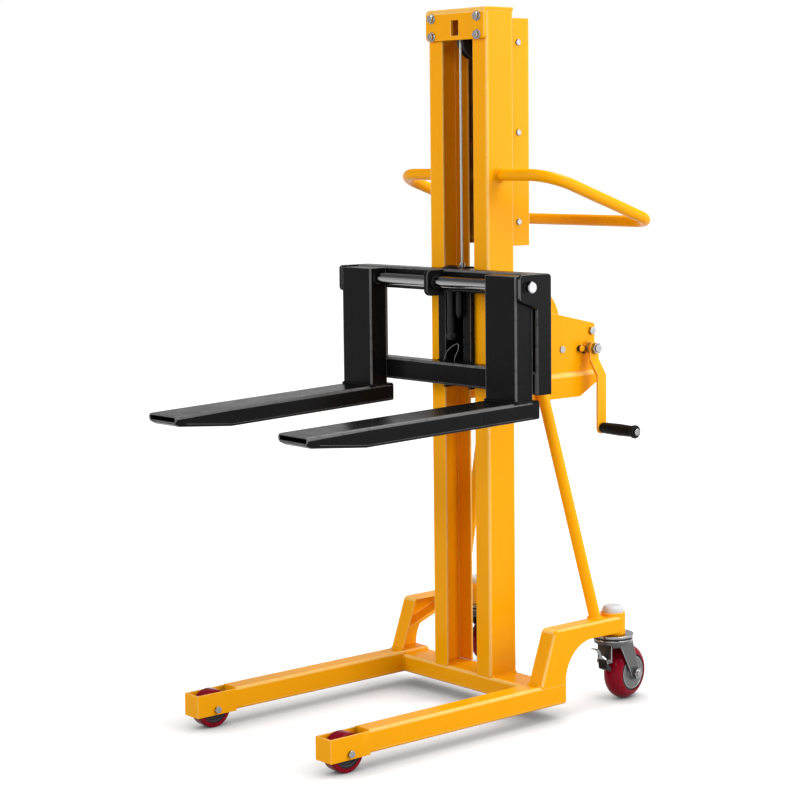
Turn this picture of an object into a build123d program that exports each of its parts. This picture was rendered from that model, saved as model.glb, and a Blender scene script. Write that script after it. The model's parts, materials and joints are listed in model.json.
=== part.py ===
from build123d import *
import math
import os

os.makedirs("parts", exist_ok=True)

# All sizes in millimetres. Y is measured from the front face of the mast, the forks point to -Y,
# X from the centre plane and Z from the floor. The finished pieces are moved to the box centre at the end.

# Fits
run_fit = 0.05          # radial clearance of a bore that turns or slides on its pin
side_gap = 0.3          # gap beside a moving face

# Legs, front rollers and cross beam
leg_outer = 258.0       # outer face of a leg from the centre plane
leg_size = 50.0         # square tube
leg_wall = 4.0
leg_corner = 6.0
leg_under = 9.5         # underside of a leg below the roller's axle
leg_reach = 592.5       # front end of a leg ahead of the mast
leg_tail = 80.0         # rear end of a leg behind the mast's front
box_length = 104.0      # open roller box at the front of a leg
box_plate = 5.0
box_sunk = 2.7          # top of the box below the leg's top
roller_r = 42.0
roller_back = 52.0      # roller axle behind the front end of the leg
roller_side = 3.0       # room beside the roller's tread in its box
roller_edge = 3.0
roller_hub_r = 32.0
roller_rim = 5.0
roller_dish = 4.0
roller_boss = 6.0       # wall of the hub round its axle
roller_axle_r = 6.0
axle_head = 8.5         # corner radius of the axle's hexagons
axle_head_height = 6.0
beam_depth = 81.0
beam_height = 42.0
beam_wall = 4.0
beam_sunk = 6.5         # top of the cross beam below the legs' top

# Goosenecks over the casters
goose_front = 4.5       # front edge where it stands on the leg
goose_lean = 42.3       # how far the front edge leans back up to the bend
goose_above = 42.5      # top of the gooseneck above the bottom of its boss
goose_bend_r = 12.0
goose_plate = 5.0
goose_flange = 42.0
goose_edge = 5.0        # rounding of the outer edge along the front and the top
arch_gap = 7.0          # top of the arch above the bottom of the boss
rib_slope = 20.0
rib_start = 52.5        # where the rib meets the front edge, above the leg
rib_thick = 8.0
boss_r = 28.8
boss_bore = 13.0
boss_y = 260.0
boss_proud = 7.5        # boss above the top of the gooseneck
cap_r = 24.6
cap_round = 10.0
cap_rise = 15.5
cap_plug = 8.0

# Casters
wheel_headroom = 35.0   # from the top of the wheel to the bottom of the boss
race_r = 47.5
race_thick = 7.0
race_edge = 2.5
king_r = 10.0
king_nut_r = 15.0
king_nut = 6.0
crown_r = 43.5
crown_thick = 14.0
wheel_r = 62.5
wheel_width = 50.0
wheel_crown = 18.0      # fall of the tread from its middle to its edge
wheel_core_r = 42.0
wheel_rim = 4.0
wheel_boss = 10.0       # wall of the hub round its axle
wheel_trail = 45.0
wheel_side = 3.0        # room between the wheel and the caster's leg
caster_plate = 4.0
caster_axle_r = 8.0
caster_leg_r = 16.0
caster_leg_front = 24.0
caster_leg_rear = 30.0
caster_nut = 13.5
caster_nut_height = 9.0
brake_web_y = 33.0      # front of the web ahead of the swivel axis
brake_web_half = 20.0
brake_web_lap = 3.0     # web below the brake's pivot
brake_drop = 52.7       # brake's pivot below the crown's top
brake_pin_r = 2.5
brake_knuckle_r = 4.2
brake_ear = 4.0
brake_half = 11.5       # half the width of the brake lever
brake_reach = 38.0      # toe of the lever ahead of its pivot
brake_rise = 36.0
brake_sheet = 3.5
shoe_back = 14.1        # lower edge of the shoe behind the pivot
shoe_drop = 24.8
shoe_thick = 10.0
caster_swing = 8.0      # how far the casters are swung round, in degrees

# Mast
mast_half = 96.5
mast_depth = 81.0
mast_flange = 46.2
mast_wall = 5.0
mast_corner = 5.0
top_z = 1577.5
cap_plate = 8.0
apron_drop = 70.0
apron_corner = 10.0
cap_bend = 12.0
cap_bolt_in = 21.5      # bolts in from the mast's side faces
cap_bolt_r = 5.0
cap_bolt_upper = 20.5   # upper bolts below the top
cap_bolt_lower = 60.5
cap_bolt_head = 9.0
cap_bolt_head_height = 6.5
cap_nut_height = 8.0
washer_r = 11.0
washer_thick = 2.0
slot_width = 24.6
slot_height = 34.0
slot_corner = 3.0
slot_mid = 43.5         # middle of the pulley slot below the top

# Rear cover
cover_sheet = 2.0
cover_depth = 49.0
cover_low = 1049.5
cover_drop = 23.0       # top of the cover below the mast's top
cover_bend = 4.0
screw_back = 13.5       # screws behind the mast's rear face
screw_end = 53.5        # outer screws in from the cover's ends
screw_r = 4.0
screw_head_r = 7.5
screw_head_height = 4.0
tab_thick = 6.0
tab_length = 24.0
tab_height = 36.0

# Push handle and braces
handle_r = 13.25
handle_wall = 2.5
handle_half = 256.0     # centre line of the side arms
handle_y = 38.0
handle_z = 1209.0
handle_tilt = 19.0
handle_length = 340.0   # along the slope
handle_front_bend = 66.0
handle_rear_bend = 40.0
brace_r = 13.5
brace_wall = 2.5
brace_foot_in = 33.0    # foot in from the leg's outer face
brace_foot_ahead = 54.0 # foot ahead of the swivel axis
brace_head_out = 8.0    # head outside the shelf's side
brace_head_back = 91.0  # head behind the mast
brace_head_drop = 27.5  # head below the shelf's top

# Winch shelf and frame
shelf_margin = 10.0     # shelf beyond the winch frame
shelf_top = 747.5
shelf_drop = 58.0
shelf_sheet = 6.0
shelf_bend = 10.0
shelf_tail = 28.0       # rear end behind the crank's axis
shelf_cut = 58.0        # length of the sloping cut under the rear end
shelf_cut_rise = 32.0
frame_plate = 5.0
frame_gap = 9.0         # frame behind the mast
frame_rise = 110.0      # rear end of the frame above the shelf
frame_slope = 12.5
frame_nose = 34.0
frame_heel = 8.0

# Winch gears, shafts and drum
crank_rise = 54.5       # crank's axis above the shelf
drum_back = 79.0        # drum's axis behind the mast
train_lean = 31.2       # slope of the line from the middle shaft to the drum
fine_module = 3.0
fine_pinion_teeth = 15
fine_gear_teeth = 38
coarse_module = 4.0
coarse_pinion_teeth = 15
coarse_gear_teeth = 42
tooth_backlash = 0.5
drum_r = 60.0
drum_half = 32.0
drum_wall = 8.0
drum_flange_r = 74.0
drum_flange = 5.0
drum_shaft_r = 10.0
drum_collar_r = 16.0
mid_shaft_r = 8.0
mid_collar = 4.0
crank_shaft_r = 9.0
crank_collar = 3.0
shaft_proud = 3.0       # shaft ends beyond the winch frame
coarse_width = 12.0
fine_width = 8.0
pinion_over = 1.0       # pinions beyond the gears that they drive
gear_gap = 2.5          # between the coarse gear and the fine gear beside it
gear_side = 5.5         # between the fine gear and the winch frame
guard_gap = 3.9         # between the coarse gear's teeth and its guard
guard_lap = 5.0         # guard beyond the inner face of the coarse gear
guard_hole = 8.0        # room between the guard and the drum's collar
guard_sheet = 2.5
guard_start = 10.0
guard_end = 140.0
tie_r = 5.0
tie_in = 12.0           # rear tie bolt in from the frame's rear end
tie_drop = 17.0         # rear tie bolt below the frame's top
tie_front_in = 22.0
tie_front_rise = 27.5
tie_nut = 9.5
tie_nut_height = 7.0

# Ratchet and crank
ratchet_r = 15.0
ratchet_root = 12.0
ratchet_teeth = 12
ratchet_width = 8.0
pawl_ahead = 24.5       # pawl's pin ahead of the crank's axis
pawl_drop = 1.0
pawl_pin_r = 4.0
pawl_pin_head = 3.0
pawl_pin_end = 4.0
pawl_eye_r = 7.5
pawl_width = 7.0
pawl_angle = -33.0
pawl_length = 17.0
arm_width = 28.5
arm_thick = 6.0
arm_out = 27.5          # outer face of the arm at the hub, beyond the winch frame
arm_joggle = 24.0
joggle_start = 28.0     # joggle below the crank's axis
joggle_end = 64.0
crank_throw = 185.0
crank_nut_r = 14.0
crank_nut_height = 10.0
crank_hub = 4.0
grip_r = 13.0
grip_belly = 1.0
grip_flange_r = 15.5
grip_flange = 8.0
grip_length = 108.0
grip_bolt_r = 5.0
grip_bolt_head = 4.0
grip_bolt_head_r = 9.0
grip_bolt_end_r = 8.0

# Rope and top pulley
rope_r = 3.0
rope_y = 10.0
rope_gap = 0.3          # rope to the groove and to the drum
rope_pitch = 6.7
rope_turns = 4.0
rope_clear = 30.0       # end of the rear fall above the drum's axis
pulley_drop = 65.5      # pulley's axis below the mast's top
pulley_rim = 4.2        # rim above the rope's centre line
pulley_half = 10.0
pulley_edge = 2.0
pulley_boss = 6.0
pulley_axle_r = 8.0
pulley_axle_head = 5.0
pulley_axle_lip = 4.0
hanger_in = 14.0
hanger_thick = 6.0
hanger_half = 22.0

# Carriage
bar_depth = 41.0
bar_height = 50.0
bar_wall = 4.0
bar_corner = 5.0
bar_front = 50.0        # front face of the bars ahead of the mast
upper_top = 1000.5
bar_pitch = 210.5       # from the top of the upper bar to the top of the lower one
end_in = 297.0
end_plate = 8.0
end_corner = 9.0
end_flange = 58.0       # inner flange behind the fork's post
end_flange_thick = 8.0
hook_lip = 1.0          # hook plates ahead of the fork posts
hook_drop = 56.5        # front of the hook below the bar's top
hook_throat = 12.0      # rear of the hook's mouth ahead of the bars
hook_throat_drop = 69.5
hook_foot = 6.0
shaft_r = 12.5
shaft_drop = 27.0       # shaft below the bar's top
shaft_out = 12.0        # shaft end beyond the end plate
shaft_edge = 1.5
lug_half = 5.5
lug_height = 58.5
lug_nose = 14.0
core_plate = 6.0
core_gap = 6.3          # ribs clear of the mast's flanges
core_depth = 62.0
core_foot = 62.0        # ribs below the top of the lower bar
stile_in = 30.0
stile_out = 54.0
stile_front = 15.0      # front face of the stiles ahead of the mast
stile_rear = 3.0
guide_width = 30.0
guide_side = 5.5        # roller clear of the mast's web
guide_edge = 3.0
guide_axle_r = 10.0
guide_collar = 5.0
guide_head = 6.0
guide_clip = 4.0
guide_clip_width = 3.0
guide_upper_drop = 45.5 # upper rollers below the top of the upper bar
guide_lower_drop = 15.0
anchor_drop = 15.5      # anchor pin below the top of the upper bar
anchor_pin_r = 8.0
anchor_pin_end = 4.0
anchor_eye_r = 12.0
anchor_half = 9.0
anchor_neck_r = 6.5
anchor_neck_rise = 11.5
spring_rod_y = 24.0
spring_rod_r = 9.0
spring_rod_length = 160.5
spring_rod_cap_r = 20.0
spring_rod_cap_rim = 1.5
spring_rod_cap = 8.0
spring_rod_nut = 13.0
spring_rod_nut_height = 10.0
spring_rod_end = 4.0
guide_pin_x = 26.0
guide_pin_r = 7.0
guide_pin_drop = 60.0
guide_pin_taper = 11.0
guide_pin_tip = 3.5

# Forks
fork_gap = 4.0          # fork in from the end plate
fork_width = 100.0
fork_thick = 41.0
fork_wall = 5.0
fork_drop = 64.5        # fork's top at the front of the post, below the top of the lower bar
fork_droop = 1.9
fork_toe = 1.4          # how far the forks are turned in, in degrees
fork_heel = 33.0
fork_reach = 655.0      # tip ahead of the mast
fork_taper = 150.0
fork_tip = 18.0         # height of the open tip
fork_nose = 25.0        # height where the tip's rounding ends
fork_nose_length = 12.0
fork_edge = 6.0         # rounding of the fork's long edges
fork_nose_round = 0.3   # rounding of the long edges there, as a share of the height
fork_tip_round = 0.47
fork_room_edge = 0.5    # least rounding inside
post_depth = 50.0
post_wall = 5.0
post_corner = 4.0
post_drop = 3.5         # top of the post below the top of the upper bar
post_lid = 4.0
post_lid_in = 2.0
sleeve_wall = 6.0


# Small building blocks
def block(x0, x1, y0, y1, z0, z1):
    return Pos((x0 + x1) / 2, (y0 + y1) / 2, (z0 + z1) / 2) * Box(x1 - x0, y1 - y0, z1 - z0)


def along_x(section, y, z, x0, x1):
    return Plane((x0, y, z), x_dir=(0, 1, 0), z_dir=(1, 0, 0)) * extrude(section, x1 - x0)


def along_y(section, x, z, y0, y1):
    return Plane((x, y0, z), x_dir=(1, 0, 0), z_dir=(0, 1, 0)) * extrude(section, y1 - y0)


def along_z(section, x, y, z0, z1):
    return Pos(x, y, z0) * extrude(section, z1 - z0)


def rod_x(radius, y, z, x0, x1):
    return along_x(Circle(radius), y, z, x0, x1)


def hexagon(radius):
    return RegularPolygon(radius, 6)


def side_plate(points, x0, x1):
    return along_x(make_face(Polyline(*points, close=True)), 0, 0, x0, x1)


def rounded_face(points, radii):
    face = make_face(Polyline(*points, close=True))
    for point, radius in radii:
        corner = face.vertices().sort_by_distance((point[0], point[1], 0))[0]
        face = fillet(corner, radius)
    return face


def turned_x(points, y, z, x=0.0):
    face = make_face(Polyline(*points, close=True))
    solid = revolve(face, Axis.X)
    return Pos(x, y, z) * solid


def domed_z(radius, rim, rise, x, y, z):
    ball = (radius ** 2 + (rise - rim) ** 2) / (2 * (rise - rim))
    return along_z(Circle(radius), x, y, z, z + rise) & Pos(x, y, z + rise - ball) * Sphere(ball)


def left_of(shape):
    return mirror(shape, about=Plane.YZ)


def hollow(width, height, corner, wall):
    return RectangleRounded(width, height, corner) - Rectangle(width - 2 * wall, height - 2 * wall)


# Legs, front rollers and cross beam
leg_inner = leg_outer - leg_size
leg_mid = leg_outer - leg_size / 2
leg_low = roller_r - leg_under
leg_top = leg_low + leg_size
leg_front = -leg_reach
tube_front = leg_front + box_length
roller_y = leg_front + roller_back
roller_width = leg_size - 2 * box_plate - 2 * roller_side
beam_top = leg_top - beam_sunk


def make_leg():
    tube = along_y(hollow(leg_size, leg_size, leg_corner, leg_wall), leg_mid, leg_low + leg_size / 2,
                   tube_front, leg_tail)
    inside = leg_wall / 2
    for y0 in (tube_front, leg_tail - box_plate):
        tube += block(leg_inner + inside, leg_outer - inside, y0, y0 + box_plate,
                      leg_low + inside, leg_top - inside)
    low, top = leg_low - box_sunk, leg_top - box_sunk
    outer = block(leg_outer - box_plate, leg_outer, leg_front, tube_front, low, top)
    inner = block(leg_inner, leg_inner + box_plate, leg_front, tube_front, low, top)
    nose = block(leg_inner, leg_outer, leg_front, leg_front + box_plate, low, top)
    hole = rod_x(roller_axle_r + run_fit, roller_y, roller_r, leg_inner - 1, leg_outer + 1)
    return tube + outer + inner + nose - hole


def make_roller_tread():
    half = roller_width / 2
    edge = roller_edge
    return turned_x([(-half, roller_hub_r), (half, roller_hub_r), (half, roller_r - edge),
                     (half - edge, roller_r), (edge - half, roller_r), (-half, roller_r - edge)],
                    roller_y, roller_r, leg_mid)


def make_roller_hub():
    half = roller_width / 2 - 1
    seat = leg_size / 2 - box_plate - side_gap
    bore = roller_axle_r + run_fit
    boss = roller_axle_r + roller_boss
    rim = roller_hub_r - roller_rim
    dish = roller_dish
    web = half - dish
    return turned_x([(-seat, bore), (seat, bore), (seat, boss), (web, boss + dish), (web, rim - dish),
                     (half, rim), (half, roller_hub_r), (-half, roller_hub_r), (-half, rim),
                     (-web, rim - dish), (-web, boss + dish), (-seat, boss)],
                    roller_y, roller_r, leg_mid)


def make_roller_axle():
    x0 = leg_inner - axle_head_height
    x1 = leg_outer + axle_head_height
    pin = rod_x(roller_axle_r, roller_y, roller_r, x0, x1)
    head = along_x(hexagon(axle_head), roller_y, roller_r, leg_outer, x1)
    nut = along_x(hexagon(axle_head), roller_y, roller_r, x0, leg_inner)
    return pin + head + nut


def make_cross_beam():
    return along_x(hollow(beam_depth, beam_height, leg_corner, beam_wall), beam_depth / 2,
                   beam_top - beam_height / 2, -leg_inner, leg_inner)


# Goosenecks
boss_bottom = 2 * wheel_r + wheel_headroom
goose_top = boss_bottom + goose_above
goose_bend_y = goose_front + goose_lean
arch_top = boss_bottom + arch_gap
arch_r = arch_top - leg_top
boss_top = goose_top + boss_proud
rib_start_z = leg_top + rib_start
goose_in = leg_outer - goose_flange
boss_x = leg_outer - boss_r


def make_gooseneck():
    rise = goose_top - leg_top
    run = (goose_bend_y - goose_front) / rise
    thick_y = goose_plate * math.hypot(1, run)
    front_in = goose_front + thick_y
    under = goose_top - goose_plate
    outline = rounded_face([(goose_front, leg_top), (goose_bend_y, goose_top), (boss_y, goose_top),
                            (boss_y, leg_top)], [((goose_bend_y, goose_top), goose_bend_r)])
    cheek = along_x(outline, 0, 0, leg_outer - goose_plate, leg_outer)
    cheek -= rod_x(arch_r, leg_tail + arch_r, leg_top, goose_in, leg_outer + 1)
    cheek -= block(goose_in, leg_outer + 1, leg_tail + arch_r, boss_y + 1, leg_top - 1, arch_top)
    strip = rounded_face([(goose_front, leg_top), (goose_bend_y, goose_top), (boss_y, goose_top),
                          (boss_y, under), (front_in + run * (under - leg_top), under), (front_in, leg_top)],
                         [((goose_bend_y, goose_top), goose_bend_r)])
    shell = cheek + along_x(strip, 0, 0, goose_in, leg_outer)
    face = shell.faces().sort_by(Axis.X)[-1]
    rim = face.edges().sort_by_distance((leg_outer, goose_bend_y, goose_top))[:3]
    shell = fillet(rim, goose_edge)
    slope = math.tan(math.radians(rib_slope))
    rib_y = goose_front + run * (rib_start_z - leg_top) + thick_y / 2
    rib_end = rib_y + (under + goose_plate / 2 - rib_start_z) / slope
    drop = rib_thick / math.cos(math.radians(rib_slope))
    rib = side_plate([(rib_y, rib_start_z), (rib_end, under + goose_plate / 2),
                      (rib_end + drop / slope, under + goose_plate / 2),
                      (rib_y, rib_start_z - drop)], goose_in, leg_outer - goose_plate / 2)
    corner_x, corner_z = leg_outer - leg_corner, leg_top - leg_corner
    weld = block(corner_x, leg_outer, goose_front, leg_tail, corner_z, leg_top)
    weld -= along_y(Circle(leg_corner + run_fit), corner_x, corner_z, goose_front - 1, leg_tail + 1)
    boss = along_z(Circle(boss_r), boss_x, boss_y, boss_bottom, boss_top)
    bore = along_z(Circle(boss_bore), boss_x, boss_y, boss_bottom - 1, boss_top + 1)
    return shell + weld + rib + boss - bore


def make_boss_cap():
    button = along_z(Circle(cap_r), boss_x, boss_y, boss_top, boss_top + cap_rise)
    plug = along_z(Circle(boss_bore - run_fit), boss_x, boss_y, boss_top - cap_plug, boss_top)
    return fillet(button.edges().sort_by(Axis.Z)[-1], cap_round) + plug


# Casters
race_low = boss_bottom - race_thick
crown_top = race_low - side_gap
crown_low = crown_top - crown_thick
wheel_y = boss_y + wheel_trail
wheel_gap = wheel_width + 2 * wheel_side
brake_pivot_z = crown_top - brake_drop
brake_web_bottom = brake_pivot_z - brake_web_lap
brake_pivot_y = boss_y - brake_web_y - brake_knuckle_r - side_gap


def swung(shape):
    return Pos(boss_x, boss_y) * Rot(0, 0, caster_swing) * Pos(-boss_x, -boss_y) * shape


def make_caster_stem():
    stem = along_z(Circle(boss_bore - run_fit), boss_x, boss_y, boss_bottom, boss_top - cap_plug)
    race = along_z(Circle(race_r), boss_x, boss_y, race_low, boss_bottom)
    king = along_z(Circle(king_r), boss_x, boss_y, crown_low - side_gap - king_nut, race_low)
    nut = along_z(Circle(king_nut_r), boss_x, boss_y, crown_low - side_gap - king_nut, crown_low - side_gap)
    return stem + chamfer(race.edges().sort_by(Axis.Z)[0], race_edge) + king + nut


def make_caster_fork():
    crown = along_z(Circle(crown_r), boss_x, boss_y, crown_low, crown_top)
    inner = wheel_gap / 2
    outer = inner + caster_plate
    web = boss_y - brake_web_y
    crown += block(boss_x - brake_web_half, boss_x + brake_web_half, web, web + caster_plate, brake_web_bottom,
                   crown_top)
    for side in (-1, 1):
        x0 = boss_x + side * (inner + caster_plate / 2) - caster_plate / 2
        leg = side_plate([(boss_y - caster_leg_front, crown_top), (boss_y + caster_leg_rear, crown_top),
                          (wheel_y + caster_leg_r, wheel_r), (wheel_y - caster_leg_r, wheel_r)],
                         x0, x0 + caster_plate)
        crown += leg + rod_x(caster_leg_r, wheel_y, wheel_r, x0, x0 + caster_plate)
        ear = boss_x + side * (brake_half + side_gap + brake_ear / 2)
        knuckle = brake_knuckle_r
        crown += block(ear - brake_ear / 2, ear + brake_ear / 2, brake_pivot_y - knuckle, boss_y - brake_web_y,
                       brake_pivot_z - knuckle, brake_pivot_z + knuckle)
    pin_end = brake_half + side_gap + brake_ear
    crown += rod_x(brake_pin_r, brake_pivot_y, brake_pivot_z, boss_x - pin_end, boss_x + pin_end)
    crown -= along_z(Circle(king_r + run_fit), boss_x, boss_y, crown_low - 1, crown_top + 1)
    return crown - rod_x(caster_axle_r + run_fit, wheel_y, wheel_r, boss_x - outer - 1, boss_x + outer + 1)


def make_caster_tread():
    half = wheel_width / 2
    edge = wheel_r - wheel_crown
    arc = ThreePointArc((half, edge), (0, wheel_r), (-half, edge))
    rim = Polyline((-half, edge), (-half, wheel_core_r), (half, wheel_core_r), (half, edge))
    return Pos(boss_x, wheel_y, wheel_r) * revolve(make_face(arc + rim), Axis.X)


def make_caster_hub():
    half = wheel_width / 2 - wheel_side
    seat = wheel_gap / 2 - side_gap
    bore = caster_axle_r + run_fit
    boss = caster_axle_r + wheel_boss
    step = wheel_core_r - wheel_rim
    face = wheel_width / 2
    return turned_x([(-seat, bore), (seat, bore), (seat, boss), (face, boss), (face, step),
                     (half, step), (half, wheel_core_r), (-half, wheel_core_r), (-half, step),
                     (-face, step), (-face, boss), (-seat, boss)], wheel_y, wheel_r, boss_x)


def make_caster_axle():
    outer = wheel_gap / 2 + caster_plate
    far = outer + caster_nut_height
    pin = rod_x(caster_axle_r, wheel_y, wheel_r, boss_x - far, boss_x + far + caster_axle_r / 2)
    head = along_x(hexagon(caster_nut), wheel_y, wheel_r, boss_x - far, boss_x - outer)
    nut = along_x(hexagon(caster_nut), wheel_y, wheel_r, boss_x + outer, boss_x + far)
    return pin + head + nut


def make_caster_brake():
    y, z = brake_pivot_y, brake_pivot_z
    long = math.hypot(brake_reach, brake_rise)
    off_y = brake_rise / long * brake_sheet / 2
    off_z = brake_reach / long * brake_sheet / 2
    toe_y = y - brake_reach
    toe_z = z + brake_rise
    arm = side_plate([(y - off_y, z - off_z), (toe_y - off_y, toe_z - off_z), (toe_y + off_y, toe_z + off_z),
                      (y + off_y, z + off_z)], boss_x - brake_half, boss_x + brake_half)
    shoe = side_plate([(y, z - brake_knuckle_r * 0.85), (y - brake_knuckle_r * 0.9, z),
                       (y - shoe_thick * 0.2, z - shoe_drop * 0.7), (y + shoe_back, z - shoe_drop),
                       (y + shoe_back, z - shoe_drop + shoe_thick)], boss_x - brake_half, boss_x + brake_half)
    eye = rod_x(brake_knuckle_r, y, z, boss_x - brake_half, boss_x + brake_half)
    bore = rod_x(brake_pin_r + run_fit, y, z, boss_x - brake_half - 1, boss_x + brake_half + 1)
    return arm + shoe + eye - bore


# Mast
cap_under = top_z - cap_plate
web_in = mast_half - mast_wall
flange_tip = mast_half - mast_flange
cap_bolt_z = (top_z - cap_bolt_upper, top_z - cap_bolt_lower)
cap_bolt_x = mast_half - cap_bolt_in
cover_high = top_z - cover_drop
screw_y = mast_depth + screw_back
screw_z = (cover_low + screw_end, (cover_low + cover_high) / 2, cover_high - screw_end)


def make_upright():
    outer = [(mast_half, 0), (mast_half, mast_depth)]
    outline = rounded_face(outer + [(flange_tip, mast_depth), (flange_tip, 0)],
                           [(corner, mast_corner) for corner in outer])
    section = outline - Pos((flange_tip + web_in) / 2, mast_depth / 2) * Rectangle(
        web_in - flange_tip, mast_depth - 2 * mast_wall)
    post = along_z(section, 0, 0, beam_top, cap_under)
    tab_out = mast_half - cover_sheet
    for z in screw_z:
        tab = block(tab_out - tab_thick, tab_out, mast_depth, mast_depth + tab_length,
                    z - tab_height / 2, z + tab_height / 2)
        post += tab - rod_x(screw_r, screw_y, z, tab_out - tab_thick - 1, tab_out + 1)
    for z in cap_bolt_z:
        post -= along_y(Circle(cap_bolt_r + run_fit), cap_bolt_x, z, -1, mast_wall + 1)
    return post


drum_y = mast_depth + drum_back
wound_r = drum_r + rope_gap + rope_r
pulley_z = top_z - pulley_drop
pulley_pitch_r = (drum_y - wound_r - rope_y) / 2
pulley_y = rope_y + pulley_pitch_r
pulley_rim_r = pulley_pitch_r + pulley_rim


def make_mast_cap():
    outline = rounded_face([(-cap_plate, top_z - apron_drop), (-cap_plate, top_z), (mast_depth, top_z),
                            (mast_depth, cap_under), (0, cap_under), (0, top_z - apron_drop)],
                           [((-cap_plate, top_z), cap_bend)])
    cap = along_x(outline, 0, 0, -mast_half, mast_half)
    corners = cap.edges().filter_by(Axis.Y).sort_by(Axis.Z)[:2]
    cap = fillet(corners, apron_corner)
    slot = RectangleRounded(slot_width, slot_height, slot_corner)
    cap -= along_y(slot, 0, top_z - slot_mid, -cap_plate - 1, 1)
    for x in (-cap_bolt_x, cap_bolt_x):
        for z in cap_bolt_z:
            cap -= along_y(Circle(cap_bolt_r + run_fit), x, z, -cap_plate - 1, 1)
    for side in (-1, 1):
        x0 = side * (hanger_in + hanger_thick / 2) - hanger_thick / 2
        hanger = block(x0, x0 + hanger_thick, pulley_y - hanger_half, pulley_y + hanger_half,
                       pulley_z, cap_under + cap_plate / 2)
        hanger += rod_x(hanger_half, pulley_y, pulley_z, x0, x0 + hanger_thick)
        cap += hanger - rod_x(pulley_axle_r + run_fit, pulley_y, pulley_z, x0 - 1, x0 + hanger_thick + 1)
    return cap


def make_cap_bolts():
    bolts = []
    for x in (-cap_bolt_x, cap_bolt_x):
        for z in cap_bolt_z:
            face = -cap_plate
            bolt = along_y(Circle(washer_r), x, z, face - washer_thick, face)
            bolt += along_y(hexagon(cap_bolt_head), x, z, face - washer_thick - cap_bolt_head_height,
                            face - washer_thick)
            bolt += along_y(Circle(cap_bolt_r), x, z, face, mast_wall + cap_nut_height)
            bolt += along_y(hexagon(cap_bolt_head), x, z, mast_wall, mast_wall + cap_nut_height)
            bolts.append(bolt)
    return bolts


def make_pulley():
    groove = rope_r + rope_gap
    bottom = pulley_pitch_r - groove
    lip = pulley_rim_r
    edge = pulley_edge
    half = pulley_half
    flat = half - edge
    seat = hanger_in - side_gap
    bore = pulley_axle_r + run_fit
    boss = pulley_axle_r + pulley_boss
    blank = turned_x([(-seat, bore), (seat, bore), (seat, boss), (half, boss), (half, lip - edge),
                      (flat, lip), (-flat, lip), (-half, lip - edge), (-half, boss), (-seat, boss)],
                     pulley_y, pulley_z)
    ring = Pos(0, pulley_y, pulley_z) * revolve(Pos(0, pulley_pitch_r) * Circle(groove), Axis.X)
    flare = turned_x([(-groove, pulley_pitch_r), (groove, pulley_pitch_r), (groove + edge, lip + edge),
                      (-groove - edge, lip + edge)], pulley_y, pulley_z)
    return blank - ring - flare


def make_pulley_axle():
    end = hanger_in + hanger_thick
    head = pulley_axle_head
    pin = rod_x(pulley_axle_r, pulley_y, pulley_z, -end - head, end + head)
    for side in (-1, 1):
        x0 = side * (end + head / 2) - head / 2
        pin += rod_x(pulley_axle_r + pulley_axle_lip, pulley_y, pulley_z, x0, x0 + head)
    return pin


# Rear cover
cover_rear = mast_depth + cover_depth


def make_rear_cover():
    front = mast_depth + side_gap
    bends = [(-mast_half, cover_rear), (mast_half, cover_rear)]
    outline = rounded_face([(-mast_half, front)] + bends + [(mast_half, front)],
                           [(corner, cover_bend) for corner in bends])
    inside = Pos(0, (mast_depth + cover_rear) / 2 - cover_sheet) * Rectangle(
        2 * (mast_half - cover_sheet), cover_depth)
    sheet = along_z(outline - inside, 0, 0, cover_low, cover_high)
    for z in screw_z:
        sheet -= rod_x(screw_r, screw_y, z, -mast_half - 1, mast_half + 1)
    return sheet


def make_cover_screws():
    screws = []
    for z in screw_z:
        head = rod_x(screw_head_r, screw_y, z, mast_half, mast_half + screw_head_height)
        head = fillet(head.edges().sort_by(Axis.X)[-1], screw_head_height * 0.6)
        screw = head + rod_x(screw_r - run_fit, screw_y, z, mast_half - cover_sheet - tab_thick, mast_half)
        screws += [screw, left_of(screw)]
    return screws


# Push handle and braces
def make_handle():
    slope = math.radians(handle_tilt)
    plane = Plane((0, handle_y, handle_z), x_dir=(1, 0, 0),
                  z_dir=(0, math.sin(slope), math.cos(slope)))
    half, far = handle_half, handle_length
    a, b = handle_front_bend, handle_rear_bend
    path = Line((mast_half, 0), (half - a, 0))
    path += JernArc((half - a, 0), (1, 0), a, 90)
    path += Line((half, a), (half, far - b))
    path += JernArc((half, far - b), (0, 1), b, 90)
    path += Line((half - b, far), (b - half, far))
    path += JernArc((b - half, far), (-1, 0), b, 90)
    path += Line((-half, far - b), (-half, a))
    path += JernArc((-half, a), (0, -1), a, 90)
    path += Line((a - half, 0), (-mast_half, 0))
    route = plane * path
    start = Plane((mast_half, handle_y, handle_z), x_dir=(0, 1, 0), z_dir=(1, 0, 0))
    outer = sweep(start * Circle(handle_r), path=route)
    return outer - sweep(start * Circle(handle_r - handle_wall), path=route)


def make_brace():
    foot = Vector(leg_outer - brace_foot_in, boss_y - brace_foot_ahead, goose_top)
    head = Vector(shelf_half + brace_head_out, mast_depth + brace_head_back, shelf_top - brace_head_drop)
    axis = (head - foot).normalized()
    reach = (head - foot).length
    over = 4 * brace_r
    plane = Plane(foot - axis * over, z_dir=axis)
    tube = plane * extrude(Circle(brace_r) - Circle(brace_r - brace_wall), reach + 2 * over)
    near, far = foot.Y - reach, foot.Y + reach
    tube -= block(0, 2 * leg_outer, near, far, goose_top - 3 * over, goose_top)
    tube -= block(0, shelf_half, near, far, goose_top, shelf_top + 3 * over)
    return tube - block(0, 2 * leg_outer, near, far, shelf_top, shelf_top + 3 * over)


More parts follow.
